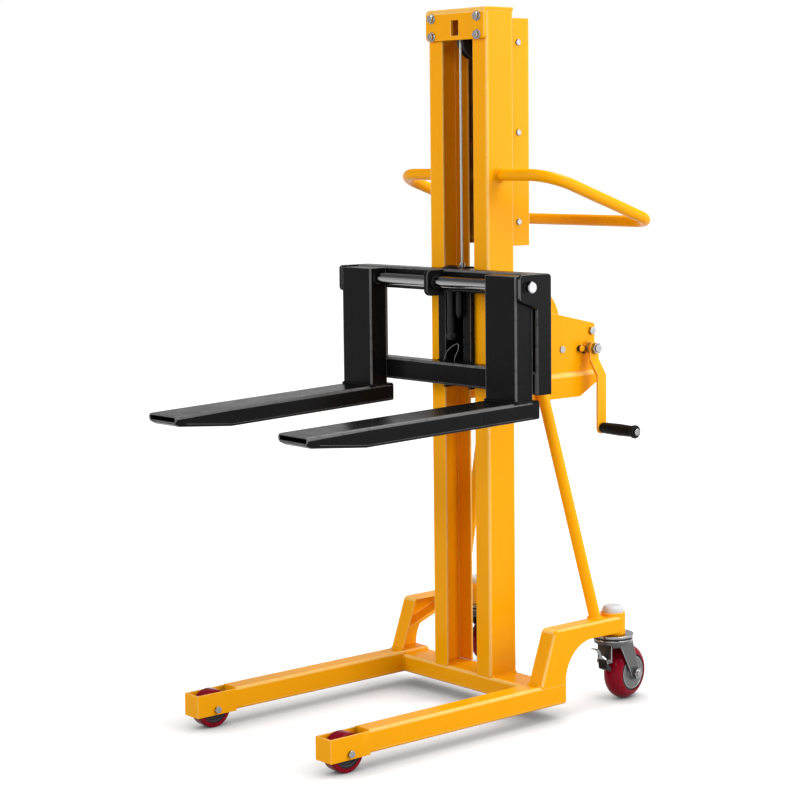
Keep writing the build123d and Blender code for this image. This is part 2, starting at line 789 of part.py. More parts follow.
# Winch frame
fine_distance = fine_module * (fine_pinion_teeth + fine_gear_teeth) / 2
coarse_distance = coarse_module * (coarse_pinion_teeth + coarse_gear_teeth) / 2
tooth_height = 0.9      # of the module, above the pitch circle
train = math.radians(train_lean)
crank_z = shelf_top + crank_rise
mid_z = crank_z
mid_y = drum_y + coarse_distance * math.cos(train)
crank_y = mid_y + fine_distance
drum_z = mid_z + coarse_distance * math.sin(train)
coarse_x = drum_half + drum_flange
fine_x = coarse_x + coarse_width + gear_gap
frame_in = fine_x + fine_width + gear_side
frame_half = frame_in + frame_plate
frame_front = mast_depth + frame_gap
frame_rear_z = shelf_top + frame_rise
shelf_half = frame_half + shelf_margin
shelf_rear = crank_y + shelf_tail
fine_tip_r = fine_module * (fine_gear_teeth / 2 + tooth_height)
coarse_tip_r = coarse_module * (coarse_gear_teeth / 2 + tooth_height)
guard_r = coarse_tip_r + guard_gap + guard_sheet
slot_x0 = fine_x - gear_gap
slot_x1 = fine_x + fine_width + gear_gap
slot_half_y = math.sqrt(max(fine_tip_r ** 2 - (mid_z - shelf_top - frame_plate) ** 2, 1)) + 2 * guard_gap
tie_y = shelf_rear - tie_in
tie_z = frame_rear_z - tie_drop
tie_front_y = frame_front + tie_front_in
tie_front_z = shelf_top + tie_front_rise
arm_face = frame_half + arm_out
ratchet_x = frame_half + side_gap
pawl_y = crank_y - pawl_ahead
pawl_z = crank_z - pawl_drop


def make_shelf():
    low = shelf_top - shelf_drop
    half, sheet, bend = shelf_half, shelf_sheet, shelf_bend
    section = rounded_face([(-half, low), (-half, shelf_top), (half, shelf_top), (half, low)],
                           [((-half, shelf_top), bend), ((half, shelf_top), bend)])
    section -= Pos(0, low + (shelf_drop - sheet) / 2 - bend) * RectangleRounded(
        2 * (half - sheet), shelf_drop - sheet + 2 * bend, bend - sheet)
    rear = Plane((0, shelf_rear, 0), x_dir=(1, 0, 0), z_dir=(0, -1, 0))
    body = rear * extrude(section, shelf_rear - mast_depth)
    cut_y = shelf_rear - shelf_cut
    body -= side_plate([(cut_y, low), (shelf_rear + 1, low + shelf_cut_rise), (shelf_rear + 1, low - 1),
                        (cut_y, low - 1)], -half - 1, half + 1)
    return body - block(slot_x0, slot_x1, mid_y - slot_half_y, mid_y + slot_half_y, shelf_top - 2 * sheet,
                        shelf_top + 1)


def make_winch_frame():
    front_z = frame_rear_z + (shelf_rear - frame_front) * math.tan(math.radians(frame_slope))
    outline = rounded_face([(frame_front, shelf_top), (frame_front, front_z), (shelf_rear, frame_rear_z),
                            (shelf_rear, shelf_top)],
                           [((frame_front, front_z), frame_nose), ((shelf_rear, frame_rear_z), frame_heel)])
    frame = along_x(outline, 0, 0, -frame_half, frame_half)
    floor = shelf_top + frame_plate
    frame -= block(-frame_in, frame_in, frame_front - 1, shelf_rear + 1, floor, front_z + 1)
    frame -= block(slot_x0, slot_x1, mid_y - slot_half_y, mid_y + slot_half_y, shelf_top - 1, floor + 1)
    for y, z, radius in ((drum_y, drum_z, drum_shaft_r), (mid_y, mid_z, mid_shaft_r),
                         (crank_y, crank_z, crank_shaft_r), (tie_y, tie_z, tie_r),
                         (tie_front_y, tie_front_z, tie_r)):
        frame -= rod_x(radius + run_fit, y, z, -frame_half - 1, frame_half + 1)
    pin_end = ratchet_x + pawl_width + side_gap
    frame += rod_x(pawl_pin_r, pawl_y, pawl_z, frame_in, pin_end + pawl_pin_end)
    return frame + rod_x(pawl_pin_r + pawl_pin_head, pawl_y, pawl_z, pin_end, pin_end + pawl_pin_end)


def make_tie_bolts():
    bolts = []
    for y, z in ((tie_y, tie_z), (tie_front_y, tie_front_z)):
        end = frame_half + tie_nut_height
        bolt = rod_x(tie_r, y, z, -end, end)
        for side in (-1, 1):
            x0 = side * (frame_half + tie_nut_height / 2) - tie_nut_height / 2
            bolt += along_x(hexagon(tie_nut), y, z, x0, x0 + tie_nut_height)
        bolts.append(bolt)
    return bolts


def make_guard():
    start, end = math.radians(guard_start), math.radians(guard_end)
    middle = (start + end) / 2
    x0 = coarse_x - guard_lap
    ring = Circle(guard_r) - Circle(guard_r - guard_sheet)
    wide = guard_r * 3
    wedge = make_face(Polyline((0, 0), (wide * math.cos(start), wide * math.sin(start)),
                               (wide * math.cos(middle), wide * math.sin(middle)),
                               (wide * math.cos(end), wide * math.sin(end)), close=True))
    rim = along_x(ring & wedge, drum_y, drum_z, x0, frame_in)
    cheek = along_x((Circle(guard_r) - Circle(drum_collar_r + guard_hole)) & wedge, drum_y, drum_z,
                    frame_in - guard_sheet, frame_in)
    return rim + cheek


# Gears
def gear_face(teeth, module, phase):
    pitch = module * teeth / 2
    base = pitch * math.cos(math.radians(20))
    root = pitch - 1.2 * module
    radii = (root, pitch - 0.35 * module, pitch + 0.3 * module, pitch + tooth_height * module)

    def roll(radius):
        flat = math.acos(min(1.0, base / radius))
        return math.tan(flat) - flat

    half_tooth = math.pi / (2 * teeth) - tooth_backlash / (4 * pitch)
    points = []
    for index in range(teeth):
        middle = phase + 2 * math.pi * index / teeth
        widths = [half_tooth + roll(pitch) - roll(radius) for radius in radii]
        for radius, width in zip(radii, widths):
            points.append((radius * math.cos(middle - width), radius * math.sin(middle - width)))
        for radius, width in reversed(list(zip(radii, widths))):
            points.append((radius * math.cos(middle + width), radius * math.sin(middle + width)))
    return make_face(Polyline(*points, close=True))


to_mid = math.atan2(mid_z - drum_z, mid_y - drum_y)
coarse_pinion_phase = to_mid + math.pi + math.pi / coarse_pinion_teeth
fine_pinion_phase = math.pi + math.pi / fine_pinion_teeth


def make_drum():
    core = rod_x(drum_r, drum_y, drum_z, -drum_half, drum_half)
    for side in (-1, 1):
        x0 = side * (drum_half + drum_flange / 2) - drum_flange / 2
        core += rod_x(drum_flange_r, drum_y, drum_z, x0, x0 + drum_flange)
    core -= rod_x(drum_r - drum_wall, drum_y, drum_z, drum_wall - drum_half, drum_half - drum_wall)
    core += rod_x(drum_shaft_r, drum_y, drum_z, -frame_half - shaft_proud, frame_half + shaft_proud)
    core += rod_x(drum_collar_r, drum_y, drum_z, -frame_in + side_gap, -drum_half)
    core += along_x(gear_face(coarse_gear_teeth, coarse_module, to_mid), drum_y, drum_z, coarse_x,
                    coarse_x + coarse_width)
    return core + rod_x(drum_collar_r, drum_y, drum_z, coarse_x, frame_in - guard_sheet - side_gap)


def make_mid_shaft():
    end = frame_half + shaft_proud
    over = pinion_over
    shaft = rod_x(mid_shaft_r, mid_y, mid_z, -end, end)
    shaft += along_x(gear_face(coarse_pinion_teeth, coarse_module, coarse_pinion_phase), mid_y, mid_z,
                     coarse_x - over, coarse_x + coarse_width + over)
    collar_r = mid_shaft_r + mid_collar
    shaft += rod_x(collar_r, mid_y, mid_z, -frame_in + side_gap, coarse_x - over)
    shaft += along_x(gear_face(fine_gear_teeth, fine_module, 0), mid_y, mid_z, fine_x, fine_x + fine_width)
    return shaft + rod_x(collar_r, mid_y, mid_z, coarse_x + coarse_width + over, frame_in - side_gap)


def make_crank_shaft():
    over = pinion_over
    shaft = rod_x(crank_shaft_r, crank_y, crank_z, -frame_half - shaft_proud,
                  arm_face + crank_nut_height + shaft_proud)
    shaft += along_x(gear_face(fine_pinion_teeth, fine_module, fine_pinion_phase), crank_y, crank_z,
                     fine_x - over, fine_x + fine_width + over)
    collar_r = crank_shaft_r + crank_collar
    shaft += rod_x(collar_r, crank_y, crank_z, -frame_in + side_gap, fine_x - over)
    shaft += rod_x(collar_r, crank_y, crank_z, fine_x + fine_width + over, frame_in - side_gap)
    hub = frame_half + 2 * side_gap + ratchet_width
    return shaft + rod_x(crank_shaft_r + crank_hub, crank_y, crank_z, hub, arm_face - arm_thick)


# Ratchet and crank
def make_ratchet():
    points = []
    step = 2 * math.pi / ratchet_teeth
    lean = math.radians(pawl_angle) + math.pi
    for index in range(ratchet_teeth):
        angle = lean + index * step
        points.append((ratchet_root * math.cos(angle), ratchet_root * math.sin(angle)))
        points.append((ratchet_r * math.cos(angle + 0.15 * step), ratchet_r * math.sin(angle + 0.15 * step)))
    wheel = along_x(make_face(Polyline(*points, close=True)), crank_y, crank_z, frame_half,
                    frame_half + side_gap + ratchet_width)
    return wheel - rod_x(crank_shaft_r + run_fit, crank_y, crank_z, frame_half - 1, arm_face)


def make_pawl():
    lean = math.radians(pawl_angle)
    tip = (pawl_length * math.cos(lean), pawl_length * math.sin(lean))
    side = (-math.sin(lean), math.cos(lean))
    upper = pawl_eye_r * 0.65
    lower = pawl_eye_r * 0.8
    nose_top = pawl_eye_r * 0.1
    nose_low = pawl_eye_r * 0.55
    body = make_face(Polyline((side[0] * upper, side[1] * upper),
                              (tip[0] - side[0] * nose_top, tip[1] - side[1] * nose_top),
                              (tip[0] - side[0] * nose_low, tip[1] - side[1] * nose_low),
                              (-side[0] * lower, -side[1] * lower), close=True))
    pawl = along_x(body, pawl_y, pawl_z, ratchet_x, ratchet_x + pawl_width)
    pawl += rod_x(pawl_eye_r, pawl_y, pawl_z, ratchet_x, ratchet_x + pawl_width)
    return pawl - rod_x(pawl_pin_r + run_fit, pawl_y, pawl_z, frame_half, ratchet_x + pawl_width + 1)


grip_z = crank_z - crank_throw
grip_x = arm_face + arm_joggle + side_gap


def make_crank_arm():
    x1 = arm_face
    x0 = arm_face - arm_thick
    x2 = arm_face + arm_joggle
    x3 = x2 - arm_thick
    high = crank_z + arm_width / 2
    low = grip_z - arm_width / 2
    joggle_high = crank_z - joggle_start
    joggle_low = crank_z - joggle_end
    bend = arm_thick * 0.4
    strip = make_face(Polyline((x0, high), (x1, high), (x1, joggle_high + bend), (x2, joggle_low + bend),
                               (x2, low), (x3, low), (x3, joggle_low - bend), (x0, joggle_high - bend),
                               close=True))
    plane = Plane((0, crank_y + arm_width / 2, 0), x_dir=(1, 0, 0), z_dir=(0, -1, 0))
    arm = plane * extrude(strip, arm_width)
    slot = SlotOverall(high - low, arm_width, rotation=90)
    arm &= along_x(slot, crank_y, (high + low) / 2, x0 - 1, x2 + 1)
    arm -= rod_x(crank_shaft_r, crank_y, crank_z, x0 - 1, x1 + 1)
    return arm - rod_x(grip_bolt_r, crank_y, grip_z, x3 - 1, x2 + 1)


def make_crank_nut():
    nut = along_x(hexagon(crank_nut_r), crank_y, crank_z, arm_face, arm_face + crank_nut_height)
    return nut - rod_x(crank_shaft_r, crank_y, crank_z, arm_face - 1, arm_face + crank_nut_height + 1)


def make_grip_bolt():
    end = grip_x + grip_length + side_gap
    inner = arm_face + arm_joggle - arm_thick
    bolt = rod_x(grip_bolt_r, crank_y, grip_z, inner - grip_bolt_head, end)
    bolt += along_x(hexagon(grip_bolt_head_r), crank_y, grip_z, inner - grip_bolt_head, inner)
    return bolt + rod_x(grip_bolt_end_r, crank_y, grip_z, end, end + grip_bolt_head)


def make_grip():
    length = grip_length
    bore = grip_bolt_r + run_fit
    round_off = grip_flange / 4
    return turned_x([(0, bore), (length, bore), (length, grip_flange_r - round_off),
                     (length - round_off, grip_flange_r), (length - grip_flange, grip_flange_r),
                     (length - grip_flange - round_off, grip_r), (length * 0.5, grip_r + grip_belly),
                     (2 * round_off, grip_r), (0, grip_r - round_off)], crank_y, grip_z, grip_x)


# Rope
def biarc(p0, t0, p1, t1):
    chord = p1 - p0
    a = 2 * (1 - t0.dot(t1))
    b = 2 * chord.dot(t0 + t1)
    c = chord.dot(chord)
    d = (math.sqrt(b * b + 4 * a * c) - b) / (2 * a)
    q0 = p0 + t0 * d
    q1 = p1 - t1 * d
    joint = (q0 + q1) * 0.5
    return [Edge.make_tangent_arc(p0, t0, joint), Edge.make_tangent_arc(joint, (q1 - q0).normalized(), p1)]


def coil_point(turn):
    angle = math.pi + 2 * math.pi * turn
    return Vector(-rope_pitch * turn, drum_y + wound_r * math.cos(angle), drum_z + wound_r * math.sin(angle))


def coil_tangent(turn):
    angle = math.pi + 2 * math.pi * turn
    round_way = 2 * math.pi * wound_r
    return Vector(-rope_pitch, -round_way * math.sin(angle), round_way * math.cos(angle)).normalized()


def make_winding():
    stub = 2 * rope_r
    start = coil_point(0) - coil_tangent(0) * stub
    edges = [Edge.make_line(start, coil_point(0))]
    count = round(rope_turns * 2)
    for index in range(count):
        t0 = rope_turns * index / count
        t1 = rope_turns * (index + 1) / count
        edges += biarc(coil_point(t0), coil_tangent(t0), coil_point(t1), coil_tangent(t1))
    end = coil_point(rope_turns)
    edges.append(Edge.make_line(end, end + coil_tangent(rope_turns) * stub))
    path = Wire(edges)
    samples = [path.position_at(index / 400) for index in range(401)]
    apart = round(400 / rope_turns / 2)
    nearest = min((samples[i] - samples[j]).length for i in range(401) for j in range(i + apart, 401))
    print(f"rope winding: smallest gap to itself {nearest - 2 * rope_r:.2f} mm")
    return sweep(Plane(start, z_dir=coil_tangent(0)) * Circle(rope_r), path=path)


def make_rope_front():
    return along_z(Circle(rope_r), 0, rope_y, upper_top + anchor_neck_rise, pulley_z)


def make_rope_rear():
    rear_y = pulley_y + pulley_pitch_r
    crest = (0, pulley_y, pulley_z + pulley_pitch_r)
    over = ThreePointArc((0, rope_y, pulley_z), crest, (0, rear_y, pulley_z))
    fall = Line((0, rear_y, pulley_z), (0, rear_y, drum_z + rope_clear))
    return sweep(Pos(0, rope_y, pulley_z) * Circle(rope_r), path=over + fall)


# Carriage
bar_rear = bar_front - bar_depth
lower_top = upper_top - bar_pitch
post_front = bar_front + side_gap + post_depth
hook_front = post_front + hook_lip - side_gap
shaft_y = bar_front + post_depth / 2
shaft_z = upper_top - shaft_drop
core_rib_out = flange_tip - core_gap
core_low = lower_top - core_foot
guide_r = mast_depth / 2 - mast_wall - side_gap
guide_in = web_in - guide_side - guide_width
guide_upper_z = upper_top - guide_upper_drop
guide_lower_z = lower_top - guide_lower_drop
anchor_z = upper_top - anchor_drop


def make_bar(top):
    return along_x(hollow(bar_depth, bar_height, bar_corner, bar_wall), -bar_front + bar_depth / 2,
                   top - bar_height / 2, -end_in, end_in)


def make_upper_bar():
    bar = make_bar(upper_top) + make_lug()
    hole = Circle(spring_rod_r + run_fit)
    return bar - along_z(hole, 0, -spring_rod_y, upper_top - bar_height - 1, upper_top + 1)


def make_end_plate():
    low = lower_top - bar_height
    throat_z = upper_top - hook_throat_drop
    points = [(-hook_front, upper_top), (-bar_rear, upper_top), (-bar_rear, low), (-bar_front, low),
              (-bar_front, throat_z - hook_foot), (-bar_front - hook_throat, throat_z),
              (-hook_front, upper_top - hook_drop)]
    plate = rounded_face(points, [(points[0], end_corner), (points[1], end_corner), (points[6], end_corner)])
    plate = along_x(plate, 0, 0, end_in, end_in + end_plate)
    plate += block(end_in - end_flange, end_in, -bar_rear - end_flange_thick, -bar_rear, lower_top,
                   upper_top - bar_height)
    return plate - rod_x(shaft_r, -shaft_y, shaft_z, end_in - 1, end_in + end_plate + 1)


def make_lug():
    lug_low = upper_top - lug_height
    nose = [(-hook_front, lug_low), (-hook_front, upper_top)]
    plate = rounded_face(nose + [(-bar_front, upper_top), (-bar_front, lug_low)],
                         [(corner, lug_nose) for corner in nose])
    plate = along_x(plate, 0, 0, -lug_half, lug_half)
    return plate - rod_x(shaft_r, -shaft_y, shaft_z, -lug_half - 1, lug_half + 1)


def make_fork_shaft():
    end = end_in + end_plate + shaft_out
    shaft = rod_x(shaft_r, -shaft_y, shaft_z, -end, end)
    return chamfer(shaft.edges().filter_by(GeomType.CIRCLE), shaft_edge)


def make_core():
    low = lower_top - bar_height
    rib_in = core_rib_out - core_plate
    core = block(-rib_in, rib_in, core_depth - core_plate, core_depth, core_low, upper_top)
    for side in (-1, 1):
        x0 = side * (stile_in + stile_out) / 2 - (stile_out - stile_in) / 2
        x1 = x0 + stile_out - stile_in
        core += block(x0, x1, -bar_rear, -stile_rear, low, upper_top)
        core += block(x0, x1, -stile_front, -bar_rear, lower_top, upper_top - bar_height)
        x0 = side * (rib_in + core_plate / 2) - core_plate / 2
        core += block(x0, x0 + core_plate, -bar_rear, core_depth, core_low, upper_top)
        for z in (guide_upper_z, guide_lower_z):
            core -= rod_x(guide_axle_r, mast_depth / 2, z, x0 - 1, x0 + core_plate + 1)
        core -= rod_x(anchor_pin_r, rope_y, anchor_z, x0 - 1, x0 + core_plate + 1)
    return core


def make_guide_axles():
    axles = []
    rib_in = core_rib_out - core_plate
    end = guide_in + guide_width + guide_clip_width
    head = rib_in - guide_head
    for z in (guide_upper_z, guide_lower_z):
        axle = rod_x(guide_axle_r, mast_depth / 2, z, head, end)
        axle += rod_x(guide_axle_r + guide_collar, mast_depth / 2, z, head, rib_in)
        axle += rod_x(guide_axle_r + guide_collar, mast_depth / 2, z, core_rib_out, guide_in - side_gap)
        axle += rod_x(guide_axle_r + guide_clip, mast_depth / 2, z, guide_in + guide_width + side_gap, end)
        axles += [axle, left_of(axle)]
    return axles


def make_guide_roller(z):
    edge = guide_edge
    bore = guide_axle_r + run_fit
    wide = guide_width
    roller = turned_x([(0, bore), (wide, bore), (wide, guide_r - edge), (wide - edge, guide_r),
                       (edge, guide_r), (0, guide_r - edge)], mast_depth / 2, z, guide_in)
    return [roller, left_of(roller)]


def make_rope_anchor():
    pin = rod_x(anchor_pin_r, rope_y, anchor_z, -core_rib_out - anchor_pin_end,
                core_rib_out + anchor_pin_end)
    eye = rod_x(anchor_eye_r, rope_y, anchor_z, -anchor_half, anchor_half)
    neck = along_z(Circle(anchor_neck_r), 0, rope_y, anchor_z, upper_top + anchor_neck_rise)
    return pin + eye + neck


def make_anchor_rods():
    dome = domed_z(spring_rod_cap_r, spring_rod_cap_rim, spring_rod_cap, 0, -spring_rod_y, upper_top)
    low = upper_top - spring_rod_length
    nut_low = low + spring_rod_end
    rod = along_z(Circle(spring_rod_r), 0, -spring_rod_y, low, upper_top)
    nut = along_z(hexagon(spring_rod_nut), 0, -spring_rod_y, nut_low, nut_low + spring_rod_nut_height)
    pin_top = upper_top - bar_height
    pin = along_z(Circle(guide_pin_r), guide_pin_x, -spring_rod_y, pin_top - guide_pin_drop, pin_top)
    pin = chamfer(pin.edges().sort_by(Axis.Z)[0], guide_pin_taper, guide_pin_tip)
    return [dome + rod + nut, pin]


# Forks
droop = math.tan(math.radians(fork_droop))
toe_out = fork_width / 2 * math.sin(math.radians(fork_toe))
post_rear = -bar_front - side_gap - toe_out
post_mid = post_rear - post_depth / 2
tip_y = post_mid - (fork_reach + post_mid - toe_out) / math.cos(math.radians(fork_toe))
post_top = upper_top - post_drop
fork_top = lower_top - fork_drop
fork_mid = end_in - fork_gap - fork_width / 2


def blade_top(y):
    return fork_top + droop * (y + bar_front + post_depth)


def make_fork_post():
    front = post_rear - post_depth
    half = fork_width / 2 - post_lid_in
    tube = along_z(hollow(fork_width, post_depth, post_corner, post_wall), fork_mid, post_mid,
                   blade_top(front) - fork_wall, post_top)
    lid = block(fork_mid - half, fork_mid + half, front + post_lid_in, post_rear - post_lid_in,
                post_top - post_lid, post_top)
    foot = side_plate([(tip_y, blade_top(tip_y)), (0, blade_top(0)), (0, 0), (tip_y, 0)],
                      fork_mid - fork_width, fork_mid + fork_width)
    return tube + lid - foot


def blade_section(y, height, corner, wall=0.0):
    inside = max(corner - wall, fork_room_edge)
    face = RectangleRounded(fork_width - 2 * wall, height - 2 * wall, inside)
    return Plane((fork_mid, y, blade_top(y) - height / 2), x_dir=(1, 0, 0), z_dir=(0, 1, 0)) * face


def make_fork_blade():
    tip, heel, wall = tip_y, -fork_heel, fork_wall
    knee = tip + fork_taper
    nose = tip + fork_nose_length
    front = [(knee, fork_thick, fork_edge), (nose, fork_nose, fork_nose * fork_nose_round)]
    end = fork_tip, fork_tip * fork_tip_round
    outside = [(heel, fork_thick, fork_edge), *front, (tip, *end)]
    room = [(heel - wall, fork_thick, fork_edge), *front, (tip - 1, *end)]
    blade = loft([blade_section(*place) for place in outside], ruled=True)
    return blade - loft([blade_section(*place, wall) for place in room], ruled=True)


def make_fork():
    body = Pos(-fork_mid, -post_mid) * (make_fork_post() + make_fork_blade())
    inner = fork_width / 2 - post_wall / 2
    sleeve = rod_x(shaft_r + sleeve_wall, -shaft_y, shaft_z, fork_mid - inner, fork_mid + inner)
    hole = rod_x(shaft_r + run_fit, -shaft_y, shaft_z, fork_mid - fork_width, fork_mid + fork_width)
    return Pos(fork_mid, post_mid) * Rot(0, 0, -fork_toe) * body + sleeve - hole


# Pieces
pieces = {
    "leg_right": make_leg(),
    "roller_tread_right": make_roller_tread(),
    "roller_hub_right": make_roller_hub(),
    "gooseneck_right": make_gooseneck(),
    "caster_fork_right": swung(make_caster_fork()),
    "caster_tread_right": swung(make_caster_tread()),
    "caster_hub_right": swung(make_caster_hub()),
    "caster_axle_right": swung(make_caster_axle()),
    "caster_brake_right": swung(make_caster_brake()),
    "mast_upright_right": make_upright(),
    "brace_right": make_brace(),
    "carriage_end_plate_right": make_end_plate(),
    "fork_right": make_fork(),
}
pieces.update({name.replace("_right", "_left"): left_of(piece) for name, piece in list(pieces.items())})
axle = make_roller_axle()
stem = make_caster_stem()
button = make_boss_cap()
pieces.update({
    "roller_axles": [axle, left_of(axle)],
    "caster_stems": [stem, left_of(stem)],
    "boss_caps": [button, left_of(button)],
    "cross_beam": make_cross_beam(),
    "mast_cap": make_mast_cap(),
    "mast_fasteners": make_cap_bolts() + make_cover_screws(),
    "top_pulley": make_pulley(),
    "top_pulley_axle": make_pulley_axle(),
    "rear_cover": make_rear_cover(),
    "push_handle": make_handle(),
    "winch_shelf": make_shelf(),
    "winch_frame": make_winch_frame(),
    "winch_tie_bolts": make_tie_bolts(),
    "gear_guard": make_guard(),
    "winch_drum": make_drum(),
    "rope_winding": make_winding(),
    "pinion_shaft": make_mid_shaft(),
    "crank_shaft": make_crank_shaft(),
    "ratchet_wheel": make_ratchet(),
    "ratchet_pawl": make_pawl(),
    "crank_arm": make_crank_arm(),
    "crank_fasteners": [make_crank_nut(), make_grip_bolt()],
    "crank_grip": make_grip(),
    "lift_rope_front": make_rope_front(),
    "lift_rope_rear": make_rope_rear(),
    "carriage_upper_bar": make_upper_bar(),
    "carriage_lower_bar": make_bar(lower_top),
    "fork_shaft": make_fork_shaft(),
    "carriage_core": make_core(),
    "guide_axles": make_guide_axles(),
    "guide_rollers_upper": make_guide_roller(guide_upper_z),
    "guide_rollers_lower": make_guide_roller(guide_lower_z),
    "rope_anchor": make_rope_anchor(),
    "anchor_rods": make_anchor_rods(),
})

# The middle of the box between the fork tips and the rear of the push handle becomes the origin
handle_back = handle_y + handle_length * math.cos(math.radians(handle_tilt)) + handle_r
shift = (fork_reach - handle_back) / 2
for name, piece in pieces.items():
    solids = piece if isinstance(piece, list) else [piece]
    solids = [Pos(0, shift, 0) * solid for item in solids for solid in item.solids()]
    shape = solids[0] if len(solids) == 1 else Compound(children=solids)
    export_step(shape, f"parts/{name}.step")
print(len(pieces), "nodes; mast front at Y", round(shift, 2), "drum axis Z", round(drum_z, 2))
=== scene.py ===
import json
import logging
import math
from dataclasses import dataclass, field
from enum import Enum
from typing import Callable, ClassVar, Iterable, Sequence

import bmesh
import bpy
from mathutils import Matrix, Vector

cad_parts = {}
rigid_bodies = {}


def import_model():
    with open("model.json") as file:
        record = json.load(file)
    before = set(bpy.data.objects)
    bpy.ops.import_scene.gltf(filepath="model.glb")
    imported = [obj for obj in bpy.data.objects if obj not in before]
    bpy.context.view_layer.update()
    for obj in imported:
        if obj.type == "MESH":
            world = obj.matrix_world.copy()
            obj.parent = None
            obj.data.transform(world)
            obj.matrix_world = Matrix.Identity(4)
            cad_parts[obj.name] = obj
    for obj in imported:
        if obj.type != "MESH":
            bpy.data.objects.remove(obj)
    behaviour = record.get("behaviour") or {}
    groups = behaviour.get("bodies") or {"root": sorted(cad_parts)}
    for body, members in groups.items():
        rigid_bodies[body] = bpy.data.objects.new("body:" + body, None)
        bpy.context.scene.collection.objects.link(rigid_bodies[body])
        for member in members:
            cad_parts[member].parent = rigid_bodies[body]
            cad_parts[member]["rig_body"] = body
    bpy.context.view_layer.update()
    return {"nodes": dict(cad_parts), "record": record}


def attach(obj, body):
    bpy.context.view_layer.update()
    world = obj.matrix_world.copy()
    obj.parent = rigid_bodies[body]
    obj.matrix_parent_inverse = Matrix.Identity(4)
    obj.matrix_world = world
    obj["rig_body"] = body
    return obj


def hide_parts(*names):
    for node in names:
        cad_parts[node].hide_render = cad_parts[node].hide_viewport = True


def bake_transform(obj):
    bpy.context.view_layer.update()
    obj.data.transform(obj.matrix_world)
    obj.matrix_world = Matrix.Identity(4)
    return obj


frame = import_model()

log = logging.getLogger("stacker")
Colour = tuple[float, float, float]
Point = tuple[float, float, float]
Pair = tuple[float, float]
Box = tuple[Point, Point]
Socket = bpy.types.NodeSocket
Tree = bpy.types.NodeTree
Piece = bpy.types.Object
FaceTest = Callable[[Vector, Vector], bool]
TrueForm = Callable[[Vector], "Vector | None"]
SIDES: tuple[tuple[str, int], ...] = (("left", -1), ("right", 1))
MM = 1000  # millimetres in a metre
MAST_FRONT = 0.1411368  # metres from the origin back to the mast's front face
BEAD_OFF = 0.5  # millimetres from a corner to the middle of its weld bead
RING_FACETS = 96  # facets round a turned ring
RING_CORNER = 40.0  # degrees past which a turned ring has a sharp corner


def spot(x: float, y: float, z: float) -> Vector:
    """Gives a point, from millimetres off the centre plane, behind the mast's front and above the floor."""
    return Vector((x / MM, y / MM + MAST_FRONT, z / MM))


class Body(Enum):
    """Bodies that carry more than one piece made here."""

    CHASSIS = "chassis"
    CARRIAGE = "carriage"
    DRUM = "drum"


class Turn(Enum):
    """Axis that a turned ring is made round."""

    ACROSS = "x"
    UPRIGHT = "z"


# Node trees


class Wiring:
    """A node tree in the making."""

    def __init__(self, tree: Tree) -> None:
        """Takes the tree that the nodes go into."""
        self.tree = tree

    def feed(self, item: object, socket: Socket) -> None:
        """Feeds an input.

        Args:
            item: A socket to link, or a plain value to set.
            socket: The input.
        """
        if isinstance(item, Socket):
            self.tree.links.new(item, socket)
        else:
            socket.default_value = item

    def node(self, kind: str, links: dict[str, object] | None = None, **values: object) -> bpy.types.Node:
        """Adds a node.

        Args:
            kind: Node type.
            links: Input names with the sockets or values that feed them.
            values: Attributes by name.

        Returns:
            The node.
        """
        made = self.tree.nodes.new(kind)
        for key, value in values.items():
            setattr(made, key, value)
        for key, item in (links or {}).items():
            self.feed(item, made.inputs[key])
        return made

    def math(self, how: str, *items: object) -> Socket:
        """Adds a Math node.

        Args:
            how: Operation.
            items: Numbers or sockets that it works on.

        Returns:
            The result.
        """
        made = self.node("ShaderNodeMath", operation=how)
        for item, socket in zip(items, made.inputs):
            self.feed(item, socket)
        return made.outputs[0]

    def times(self, first: object, *others: object) -> Socket:
        """Multiplies numbers and sockets.

        Args:
            first: First number or socket.
            others: What it is multiplied by, one after another.

        Returns:
            The product.
        """
        for other in others:
            first = self.math("MULTIPLY", first, other)
        return first

    def spread(self, value: Socket, low: float, high: float, start: float = 0.0, end: float = 1.0) -> Socket:
        """Eases a value from the range low to high into the range start to end."""
        ranges = {"Value": value, "From Min": low, "From Max": high, "To Min": start, "To Max": end}
        return self.node("ShaderNodeMapRange", ranges, interpolation_type="SMOOTHSTEP").outputs["Result"]


class NodeGroup(Wiring):
    """A named tree with inputs and outputs of its own."""

    def __init__(self, name: str, kind: str) -> None:
        """Starts a tree with its two end nodes.

        Args:
            name: Tree name.
            kind: Tree type.
        """
        super().__init__(bpy.data.node_groups.new(name, kind))
        self.ins = self.node("NodeGroupInput")
        self.outs = self.node("NodeGroupOutput")

    def take(self, name: str, default: float | None = None, kind: str = "NodeSocketFloat") -> Socket:
        """Adds an input.

        Args:
            name: Input name.
            default: Value where nothing feeds it, for a number.
            kind: Socket type.

        Returns:
            The socket inside the tree.
        """
        socket = self.tree.interface.new_socket(name, in_out="INPUT", socket_type=kind)
        if default is not None:
            socket.default_value = default
        return self.ins.outputs[name]

    def give(self, name: str, source: Socket, kind: str = "NodeSocketFloat") -> None:
        """Adds an output of some type that a socket feeds."""
        self.tree.interface.new_socket(name, in_out="OUTPUT", socket_type=kind)
        self.feed(source, self.outs.inputs[name])


# Shader groups


